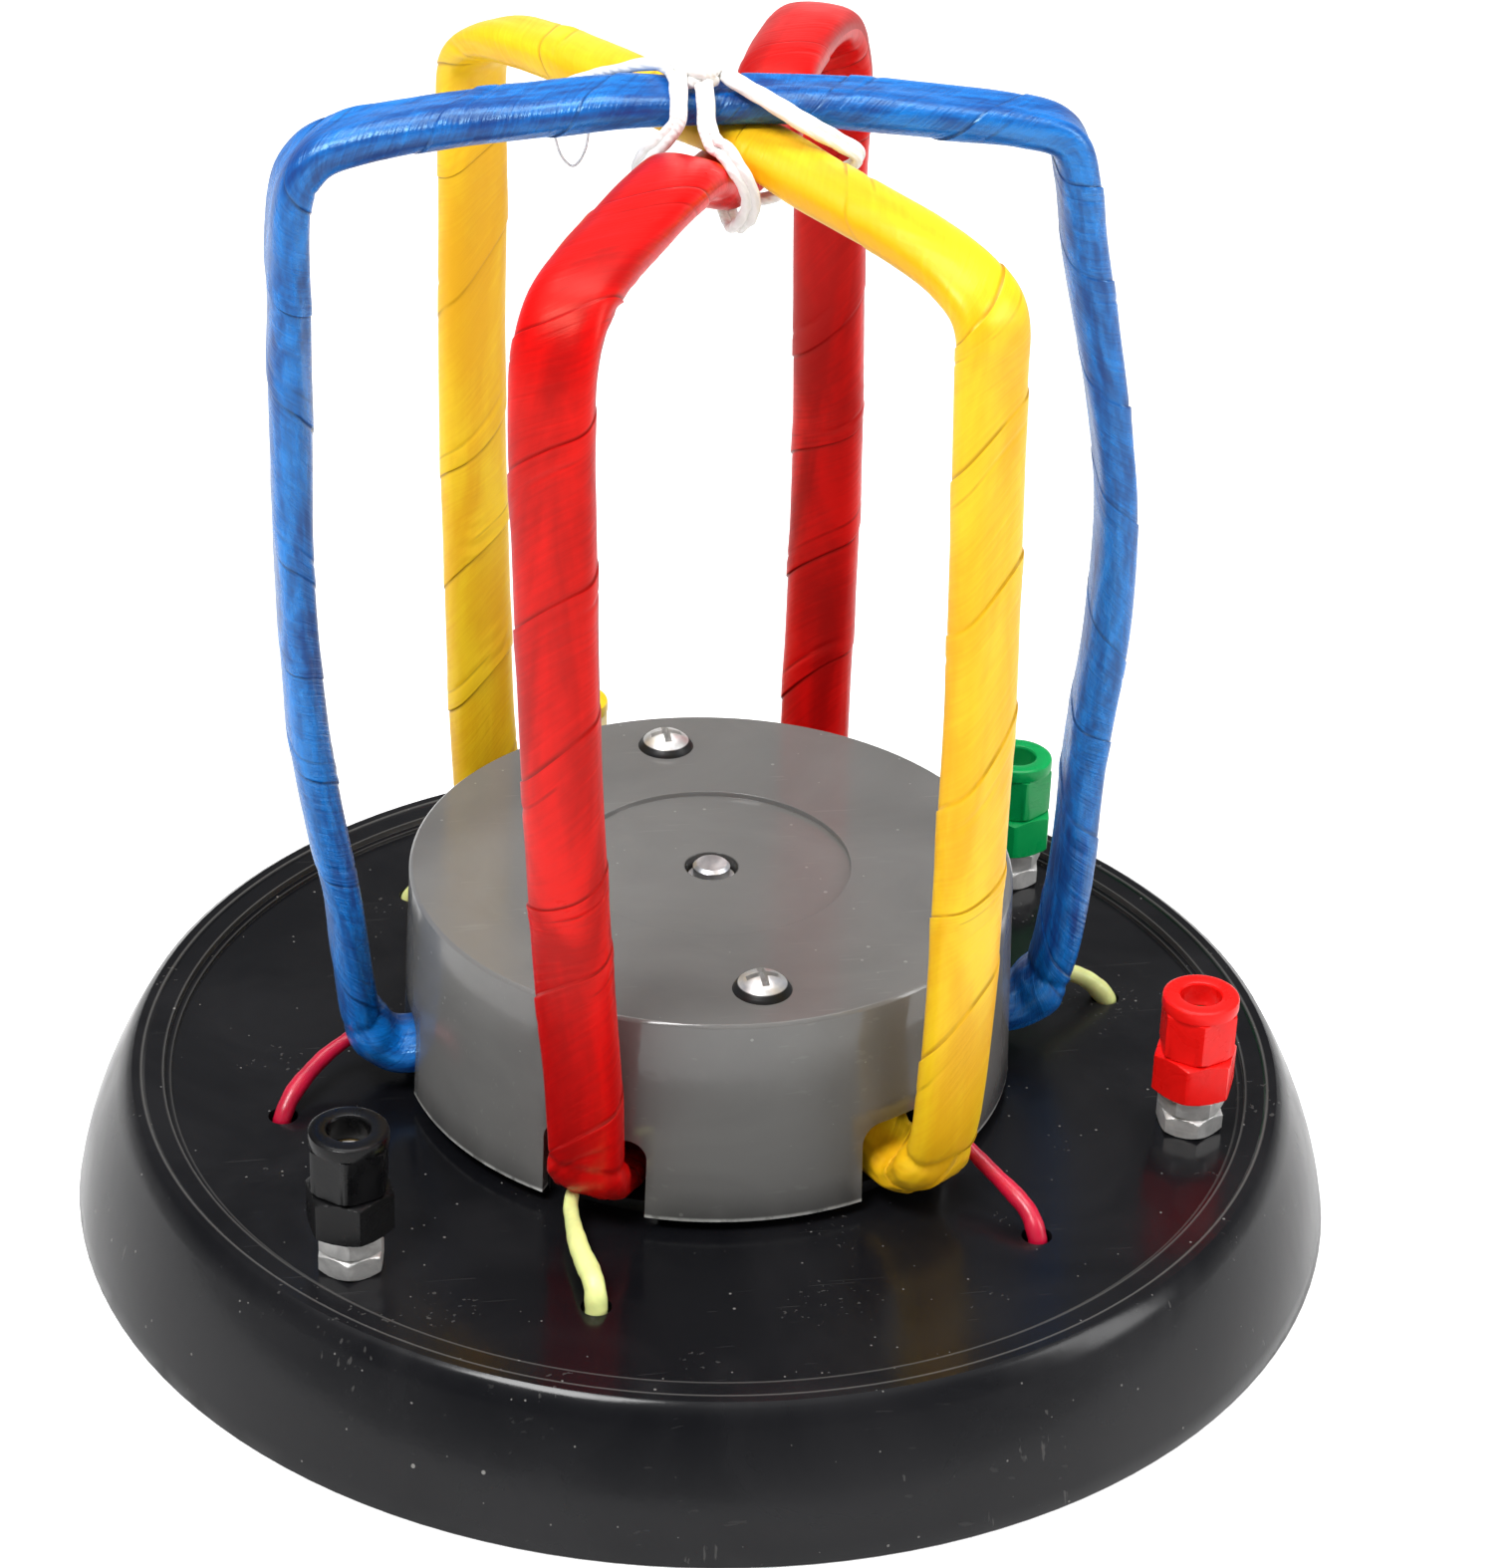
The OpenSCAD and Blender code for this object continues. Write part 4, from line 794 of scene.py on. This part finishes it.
def satinGroup():
    # satin ribbon: long fine ribs across the ribbon, a slight weft, slubs, a dark line of painted
    # shade at the ribbon's own edge, where the second way of the map meets a whole turn, and one at
    # its fold
    g, into, out = newGroup("satinWeave", "Map", {"Ribs": 40.0, "Weft": 180.0, "Pitch": 0.19,
                                                  "Streaks": 0.2}, ["Height", "Tone", "SeamShade"])
    x, y, _ = g.add("SeparateXYZ", into["Map"])

    def threads(along, across, **values):
        # noise on the map, its two ways stretched by these
        place = g.add("CombineXYZ", g.times(x, along), g.times(y, across))[0]
        return g.add("TexNoise", Vector=place, Scale=1.0, **values)["Fac"]

    ribs = threads(9.0, into["Weft"], Detail=3.0, Roughness=0.6)
    weft = threads(into["Ribs"], 16.0, Detail=3.0, Roughness=0.6)
    slubs = threads(12.0, 3.0, Detail=4.0, Roughness=0.5, Distortion=0.5)
    ribShare = 0.18
    cross = g.plus(g.times(ribs, ribShare), g.times(weft, into["Streaks"]))
    rest = g.maths("SUBTRACT", 1.0, g.plus(into["Streaks"], ribShare))
    turn = g.maths("FRACT", g.maths("DIVIDE", y, into["Pitch"]))
    # painted shade: a dark line where each turn laps the next, and another in the fold
    edge = g.times(g.ramp(turn, 0.96, 0.995), g.ramp(slubs, 0.36, 0.56, 0.12, 1.0))
    fold = g.maths("ABSOLUTE", g.maths("SUBTRACT", turn, ribbonRelief["foldAt"]))
    fold = g.times(g.ramp(fold, 0.018, 0.004), g.ramp(slubs, 0.5, 0.62, 0.0, 0.6))
    g.feed(out["Height"], g.plus(g.times(ribs, 0.6), g.times(weft, 0.5)))
    g.feed(out["Tone"], g.plus(g.times(slubs, rest), cross))
    g.feed(out["SeamShade"], g.most(edge, fold))
    return g.tree


groups = {"dust": dustGroup(), "ring": ringGroup(), "smudges": smudgeGroup(),
          "scratches": scratchGroup(), "satin": satinGroup()}


class Finish(Nodes):
    # a material with one Principled shader, whose own sockets the values set

    def __init__(self, name, **values):
        self.material = bpy.data.materials.new(name)
        self.material.use_nodes = True
        super().__init__(self.material.node_tree)
        self.shader = self.tree.nodes["Principled BSDF"].inputs
        for key, value in values.items():
            self.feed(self.shader[key.replace("_", " ")], value)
        self.place = self.add("TexCoord")["Object"]

    def use(self, name, *values):
        # the results of a shared group at this material's place, its values in the group's order
        return self.add("Group", self.place, *values, node_tree=groups[name])

    def marks(self, name, rows):
        # the strongest of several marks of one group: a row is its strength and its values
        return reduce(self.most, (self.times(self.use(name, *values)[0], strength)
                                  for strength, *values in rows))

    def done(self, tone, rough, height, depth):
        # links the colour, the roughness and a bump of the given depth in mm
        self.feed(self.shader["Base Color"], tone)
        self.feed(self.shader["Roughness"], rough)
        bump = self.add("Bump", Strength=1.0, Distance=depth * mm, Height=height)
        self.feed(self.shader["Normal"], bump[0])
        return self.material


# Finishes. In each look: clouds are the scales of the broad and fine smudges; tones and gloss run
# over the broad ones, as (from, to) with two colours, and as (from, to, rough, rougher); specks and
# scratches are a strength and their group's values; relief is in mm

mouldingLook = {
    "clouds": (28, 420), "toneRange": (0.35, 0.75), "gloss": (0.3, 0.8, 0.13, 0.28),
    "tones": ((0.0045, 0.0047, 0.006), (0.01, 0.01, 0.0115)), "dust": (0.36, 0.35, 0.33),
    "specks": ((0.55, 420, 0.04, 0.16), (0.4, 1100, 0.035, 0.24)),
    "scratches": ((0.03, (60, 1500, 900), 0.68, 0.5), (0.1, (900, 900, 50), 0.64, 0.6)),
    # rings are thin lines painted along the rim's edges as highlights, each a radius in mm and a
    # strength; they take the dust colour
    "rings": ((89.3, 0.22), (85.9, 0.17), (84.8, 0.1)), "ringWidth": 0.3, "ringsAbove": 19.5,
    "duller": 0.8, "grain": 0.5, "relief": 0.03,
}


def blackMoulding(look):
    # gloss black plastic: clouds of rubbed gloss, pale specks of dust, fine scratches, and thin
    # pale rings painted along the rim's edges as highlights, in the dust's pale colour
    m = Finish("black_moulding", Specular_IOR_Level=0.27)
    broad, fine = m.use("smudges", *look["clouds"])
    tone = m.mix(m.ramp(broad, *look["toneRange"]), *look["tones"])
    specks = m.marks("dust", look["specks"])
    marks = m.most(specks, m.marks("scratches", look["scratches"]))
    tone = m.mix(marks, tone, look["dust"])
    # painted highlights: thin pale lines along the rim's edges
    for radius, strength in look["rings"]:
        ring = m.use("ring", radius * mm, look["ringWidth"] * mm, look["ringsAbove"] * mm)[0]
        tone = m.mix(m.times(ring, strength), tone, look["dust"])
    rough = m.plus(m.ramp(broad, *look["gloss"]), m.times(marks, look["duller"]))
    return m.done(tone, rough, m.plus(m.times(fine, look["grain"]), specks), look["relief"])


cupLook = {
    "clouds": (42, 500), "toneRange": (0.3, 0.72), "gloss": (0.3, 0.75, 0.11, 0.24),
    "tones": ((0.15, 0.148, 0.143), (0.172, 0.17, 0.164)), "rubs": (0.62, 0.62, 0.6),
    "scratches": ((0.04, (90, 1400, 900), 0.66, 0.45),), "specks": ((0.2, 620, 0.1, 0.2),),
    # the pale line at the foot, up to its top height, is a painted highlight on the foot's edge
    "footAt": 22.6, "footHighlightTop": 23.1, "footHighlight": (0.75, 0.75, 0.72), "footHighlightBreaks": (0.3, 0.55, 0.3),
    "bore": (3.6, 0.8, 50), "boreStrength": 1.8, "boreMost": 0.95,
    "boreShade": (0.004, 0.004, 0.004), "relief": 0.02,
}


def cupMoulding(look):
    # mid-grey gloss plastic with wiped clouds, a few pale rubs and dust, a broken pale line
    # painted along its foot as a highlight on the edge, and shade in the gap round the spindle
    m = Finish("grey_moulding", Specular_IOR_Level=0.5, IOR=1.5)
    broad, fine = m.use("smudges", *look["clouds"])
    tone = m.mix(m.ramp(broad, *look["toneRange"]), *look["tones"])
    marks = m.most(m.marks("scratches", look["scratches"]), m.marks("dust", look["specks"]))
    tone = m.mix(marks, tone, look["rubs"])
    # painted highlight: a broken pale line along the foot's edge
    height = m.add("SeparateXYZ", m.place)[2]
    footHighlight = m.ramp(height, look["footHighlightTop"] * mm, look["footAt"] * mm)
    tone = m.mix(m.times(footHighlight, m.ramp(fine, *look["footHighlightBreaks"])), tone, look["footHighlight"])
    bore = m.use("ring", *(length * mm for length in look["bore"]))[0]
    shade = m.maths("MINIMUM", m.times(bore, look["boreStrength"]), look["boreMost"])
    tone = m.mix(shade, tone, look["boreShade"])
    return m.done(tone, m.ramp(broad, *look["gloss"]), fine, look["relief"])


# tones are dark and light, and edge is the colour of the painted shade at each turn's edge and
# fold; ribs, weft and streaks are the weave's own values
ribbonLooks = {
    "red": {"tones": ((0.4, 0.001, 0.002), (0.74, 0.004, 0.004)), "edge": (0.15, 0.0, 0.0),
            "sheen": (1.0, 0.3, 0.22), "shine": 0.5, "rough": 0.33, "relief": 0.1,
            "ribs": 26.0, "weft": 110.0, "streaks": 0.12},
    "yellow": {"tones": ((0.84, 0.42, 0.004), (0.96, 0.62, 0.015)), "edge": (0.42, 0.19, 0.0),
               "sheen": (1.0, 0.95, 0.5), "shine": 0.5, "rough": 0.34, "relief": 0.12,
               "ribs": 24.0, "weft": 120.0, "streaks": 0.14},
    "blue": {"tones": ((0.001, 0.03, 0.21), (0.006, 0.2, 0.68)), "edge": (0.002, 0.015, 0.1),
             "sheen": (0.5, 0.85, 1.0), "shine": 1.0, "rough": 0.27, "relief": 0.25,
             "ribs": 60.0, "weft": 200.0, "streaks": 0.45},
}


def ribbonSatin(name, look, pitch):
    # satin: two tones from the weave, a dark line of painted shade along each turn's edge and fold,
    # and a soft sheen
    m = Finish(name + "_satin", Specular_IOR_Level=look["shine"], Specular_Tint=look["sheen"],
               Sheen_Weight=0.04, Sheen_Roughness=0.3, Sheen_Tint=look["sheen"])
    m.place = m.add("UVMap", uv_map="along")[0]
    height, shade, edge = m.use("satin", look["ribs"], look["weft"], pitch * mapScale,
                                look["streaks"])
    tone = m.mix(m.ramp(shade, 0.36, 0.64), *look["tones"])
    # painted shade along each turn's edge and in its fold
    tone = m.mix(m.times(edge, 0.8), tone, look["edge"])
    rough = m.ramp(shade, 0.3, 0.7, look["rough"] + 0.1, look["rough"] - 0.06)
    return m.done(tone, rough, height, look["relief"])


# glossBy: the gloss runs over the broad clouds (0) or the fine ones (1)
sleeveLook = {"clouds": (160, 1500), "shade": 0.8, "glossBy": 1, "relief": 0.04,
              "shader": {"Coat_Weight": 0.25, "Coat_Roughness": 0.25, "Subsurface_Weight": 0.12,
                         "Subsurface_Scale": 0.002}}
postLook = {"clouds": (130, 1300), "shade": 0.9, "glossBy": 0, "relief": 0.03,
            "shader": {"Specular_IOR_Level": 0.22, "Coat_Weight": 0.04, "Coat_Roughness": 0.12}}


def cloudedPlastic(name, colour, look, smooth, rough):
    # sleeving or moulded plastic, nearly even: faint clouds between the colour and its shade
    m = Finish(name, **look["shader"])
    clouds = m.use("smudges", *look["clouds"])
    shade = tuple(look["shade"] * x for x in colour)
    tone = m.mix(m.ramp(clouds[0], 0.35, 0.65), shade, colour)
    gloss = m.ramp(clouds[look["glossBy"]], 0.3, 0.7, smooth, rough)
    return m.done(tone, gloss, clouds[1], look["relief"])


# the near-black colour in this look is painted shade, for the screws' cross recess
metalLook = {"clouds": (220, 1800), "toneRange": (0.3, 0.7), "shade": 0.72, "rougher": 0.12,
             "above": 0.5, "where": 0.35, "duller": 0.08, "recessShade": (0.04, 0.04, 0.04),
             "relief": 0.006}


def brightMetal(name, colour, rough, brushed=(40, 40, 2500), metallic=1.0, shadeBelow=None):
    # plated or ground metal: turning marks, and clouds in the tone and gloss; the last argument
    # gives two heights in mm, and below the first the metal is painted dark as shade in the screws'
    # cross recess
    look = metalLook
    m = Finish(name, Metallic=metallic)
    broad = m.use("smudges", *look["clouds"])[0]
    marks = m.use("scratches", brushed, look["above"], look["where"])[0]
    shade = tuple(look["shade"] * x for x in colour)
    tone = m.mix(m.ramp(broad, *look["toneRange"]), shade, colour)
    # painted shade: the metal is darker below the first height, for the screws' cross recess
    if shadeBelow:
        height = m.add("SeparateXYZ", m.place)[2]
        tone = m.mix(m.ramp(height, shadeBelow[0] * mm, shadeBelow[1] * mm), look["recessShade"], tone)
    gloss = m.ramp(broad, 0.3, 0.75, rough, rough + look["rougher"])
    return m.done(tone, m.plus(gloss, m.times(marks, look["duller"])), marks, look["relief"])


coverLook = {"clouds": (60, 1500), "tones": ((0.02, 0.02, 0.022), (0.045, 0.045, 0.048)),
             "gloss": (0.3, 0.7, 0.5, 0.7), "relief": 0.12}


def mattCover(look):
    # matt black sheet with a fine even grain
    m = Finish("matt_cover")
    broad, fine = m.use("smudges", *look["clouds"])
    return m.done(m.mix(broad, *look["tones"]), m.ramp(fine, *look["gloss"]), fine, look["relief"])


stringLook = {"clouds": (300, 2500), "tones": ((0.86, 0.85, 0.82), (0.93, 0.92, 0.9)),
              "plies": 520, "rough": 0.85, "fuzz": 0.5, "relief": 0.07}


def twistedString(look):
    # cotton string: slanting plies as waves across Object coordinates, and a little fuzz
    m = Finish("cotton_string", Sheen_Weight=0.3)
    plies = m.add("TexWave", Vector=m.place, Scale=look["plies"], Distortion=3.0, Detail=2.0,
                  bands_direction="DIAGONAL")["Fac"]
    fuzz = m.times(m.use("smudges", *look["clouds"])[1], look["fuzz"])
    tone = m.mix(plies, *look["tones"])
    return m.done(tone, look["rough"], m.plus(plies, fuzz), look["relief"])


wireLook = {"tones": ((0.32, 0.1, 0.035), (0.7, 0.3, 0.12)), "wires": 600,
            "gloss": (0.0, 1.0, 0.3, 0.45), "relief": 0.1}


def copperWire(look):
    # enamelled copper with fine lines, inside the ribbon
    m = Finish("copper_winding", Metallic=1.0)
    lines = m.add("TexWave", Vector=m.place, Scale=look["wires"], Distortion=1.0)["Fac"]
    return m.done(m.mix(lines, *look["tones"]), m.ramp(lines, *look["gloss"]), lines,
                  look["relief"])


# the screw heads' highest point: the cross recess lies below it, and is painted dark as shade
screwTop = max(v.co.z for v in frame["nodes"]["cup_screws"].data.vertices) / mm
postColours = {"red": (0.95, 0.008, 0.006), "green": (0.0, 0.36, 0.085),
               "yellow": (0.95, 0.66, 0.02), "black": (0.003, 0.003, 0.0035)}
finishes = {
    "base": blackMoulding(mouldingLook), "cup": cupMoulding(cupLook),
    "cover": mattCover(coverLook), "copper": copperWire(wireLook),
    "string": twistedString(stringLook),
    "steel": brightMetal("plated_steel", (0.95, 0.94, 0.92), 0.28),
    "cup_screw": brightMetal("screw_steel", (0.96, 0.95, 0.93), 0.34, metallic=0.85,
                             shadeBelow=(screwTop - 1.62, screwTop - 1.45)),
    "nickel": brightMetal("bright_nickel", (0.95, 0.94, 0.92), 0.36, metallic=0.6),
    "spindle": brightMetal("ground_steel", (0.95, 0.95, 0.96), 0.34),
    "spring_steel": brightMetal("spring_steel", (0.25, 0.25, 0.28), 0.3),
    "brass": brightMetal("dull_brass", (0.2, 0.14, 0.06), 0.4),
    "tinned": brightMetal("tinned_tag", (0.74, 0.74, 0.72), 0.3, brushed=(900, 900, 40)),
    "pink_sleeve": cloudedPlastic("pink_sleeve", (0.6, 0.004, 0.04), sleeveLook, 0.3, 0.42),
    "pale_sleeve": cloudedPlastic("pale_sleeve", (0.9, 0.96, 0.36), sleeveLook, 0.4, 0.52),
}
for name, look in coilLooks.items():
    finishes[name + "_ribbon"] = ribbonSatin(name, ribbonLooks[name], look["pitch"])
for name, colour in postColours.items():
    finishes[name + "_plastic"] = cloudedPlastic(name + "_post_plastic", colour, postLook,
                                                 0.22, 0.38)


def dress(obj, slot):
    # gives an object the finish of that slot alone
    obj.data.materials.clear()
    obj.data.materials.append(finishes[slot])


softEdges = {"base_housing": 0.3, "coil_cup": 0.25, "cup_screws": 0.15}
edgeShape = {"weld": 0.002, "segments": 2, "sharper": 40}


def softenEdges(obj, width):
    # rounds edges sharper than the angle in degrees by the given width in mm
    weld = obj.modifiers.new("weld", "WELD")
    weld.merge_threshold = edgeShape["weld"] * mm
    bevel = obj.modifiers.new("bevel", "BEVEL")
    bevel.width = width * mm
    bevel.segments = edgeShape["segments"]
    bevel.limit_method = "ANGLE"
    bevel.angle_limit = math.radians(edgeShape["sharper"])
    bevel.harden_normals = True


for part in frame["record"]["subparts"]:
    dress(frame["nodes"][part["node"]], part["material_slot"])
dress(frame["nodes"]["cup_screws"], "cup_screw")
for name, width in softEdges.items():
    softenEdges(frame["nodes"][name], width)
for obj in [*leads, *coils.values(), stringObj, *posts]:
    dress(obj, obj["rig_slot"])
print("finishes made:", len(finishes))


# Floor and light, in metres

# skyTones: how bright the surroundings are, by height from straight down (0) to overhead (1)
studio = {"floor": 3.0, "floorSides": 96, "floorDrop": 0.0002, "floorColour": (0.86, 0.86, 0.86),
          "cameraGlow": 0.4,
          "skyTones": ((0.5, 0.8), (0.57, 0.55), (0.66, 0.2), (0.82, 0.18), (0.93, 0.85),
                       (1.0, 1.0))}


def paleFloor(values):
    # a broad flat disc just under the foot; the camera alone sees it a little brighter
    sides = values["floorSides"]
    a = 2 * np.pi * np.arange(sides) / sides
    ring = np.stack([values["floor"] * np.cos(a), values["floor"] * np.sin(a),
                     np.full(sides, -values["floorDrop"])], 1)
    mesh = bpy.data.meshes.new("floor")
    mesh.from_pydata(ring.tolist(), [], [list(range(sides))])
    inScene("floor", mesh)
    paper = Finish("floor_paper", Base_Color=values["floorColour"], Roughness=0.8,
                   Emission_Color=(1, 1, 1))
    glow = paper.times(paper.add("LightPath")["Is Camera Ray"], values["cameraGlow"])
    paper.feed(paper.shader["Emission Strength"], glow)
    mesh.materials.append(paper.material)


def softWorld(values):
    # a bright ceiling and a paler band at the floor with darker walls between; white where the
    # camera looks straight at it
    world = bpy.data.worlds.new("studio")
    bpy.context.scene.world = world
    world.use_nodes = True
    g = Nodes(world.node_tree)
    back = world.node_tree.nodes["Background"].inputs
    g.feed(back["Color"], (1, 1, 1))
    z = g.add("SeparateXYZ", g.add("TexCoord")["Generated"])[2]
    tones = g.add("ValToRGB", g.maths("MULTIPLY_ADD", z, 0.5, 0.5))[0]
    stops = tones.node.color_ramp.elements
    for k, (where, tone) in enumerate(values["skyTones"]):
        stop = stops[k] if k < 2 else stops.new(where)
        stop.position = where
        stop.color = (tone, tone, tone, 1)
    ray = g.add("LightPath")["Is Camera Ray"]
    g.feed(back["Strength"], g.mix(ray, tones, (1.0, 1.0, 1.0)))


softLights = {
    "key": {"place": (-0.6, -0.55, 1.45), "size": (0.6, 0.5), "watts": 21},
    "fill": {"place": (1.2, -0.45, 0.75), "size": (0.4, 0.8), "watts": 7},
    "top": {"place": (0.1, 0.3, 1.5), "size": (1.1, 0.7), "watts": 12},
}
lightAim = (0, 0, 0.08)


def softLight(name, values):
    # a rectangular lamp turned to face the middle of the object
    data = bpy.data.lights.new(name, "AREA")
    data.shape = "RECTANGLE"
    data.size, data.size_y = values["size"]
    data.energy = values["watts"]
    place = Vector(values["place"])
    facing = (Vector(lightAim) - place).to_track_quat("-Z", "Y").to_matrix().to_4x4()
    inScene(name, data).matrix_world = Matrix.Translation(place) @ facing


paleFloor(studio)
softWorld(studio)
for name, values in softLights.items():
    softLight(name, values)
bpy.context.scene.view_settings.view_transform = "Standard"
print("studio made")
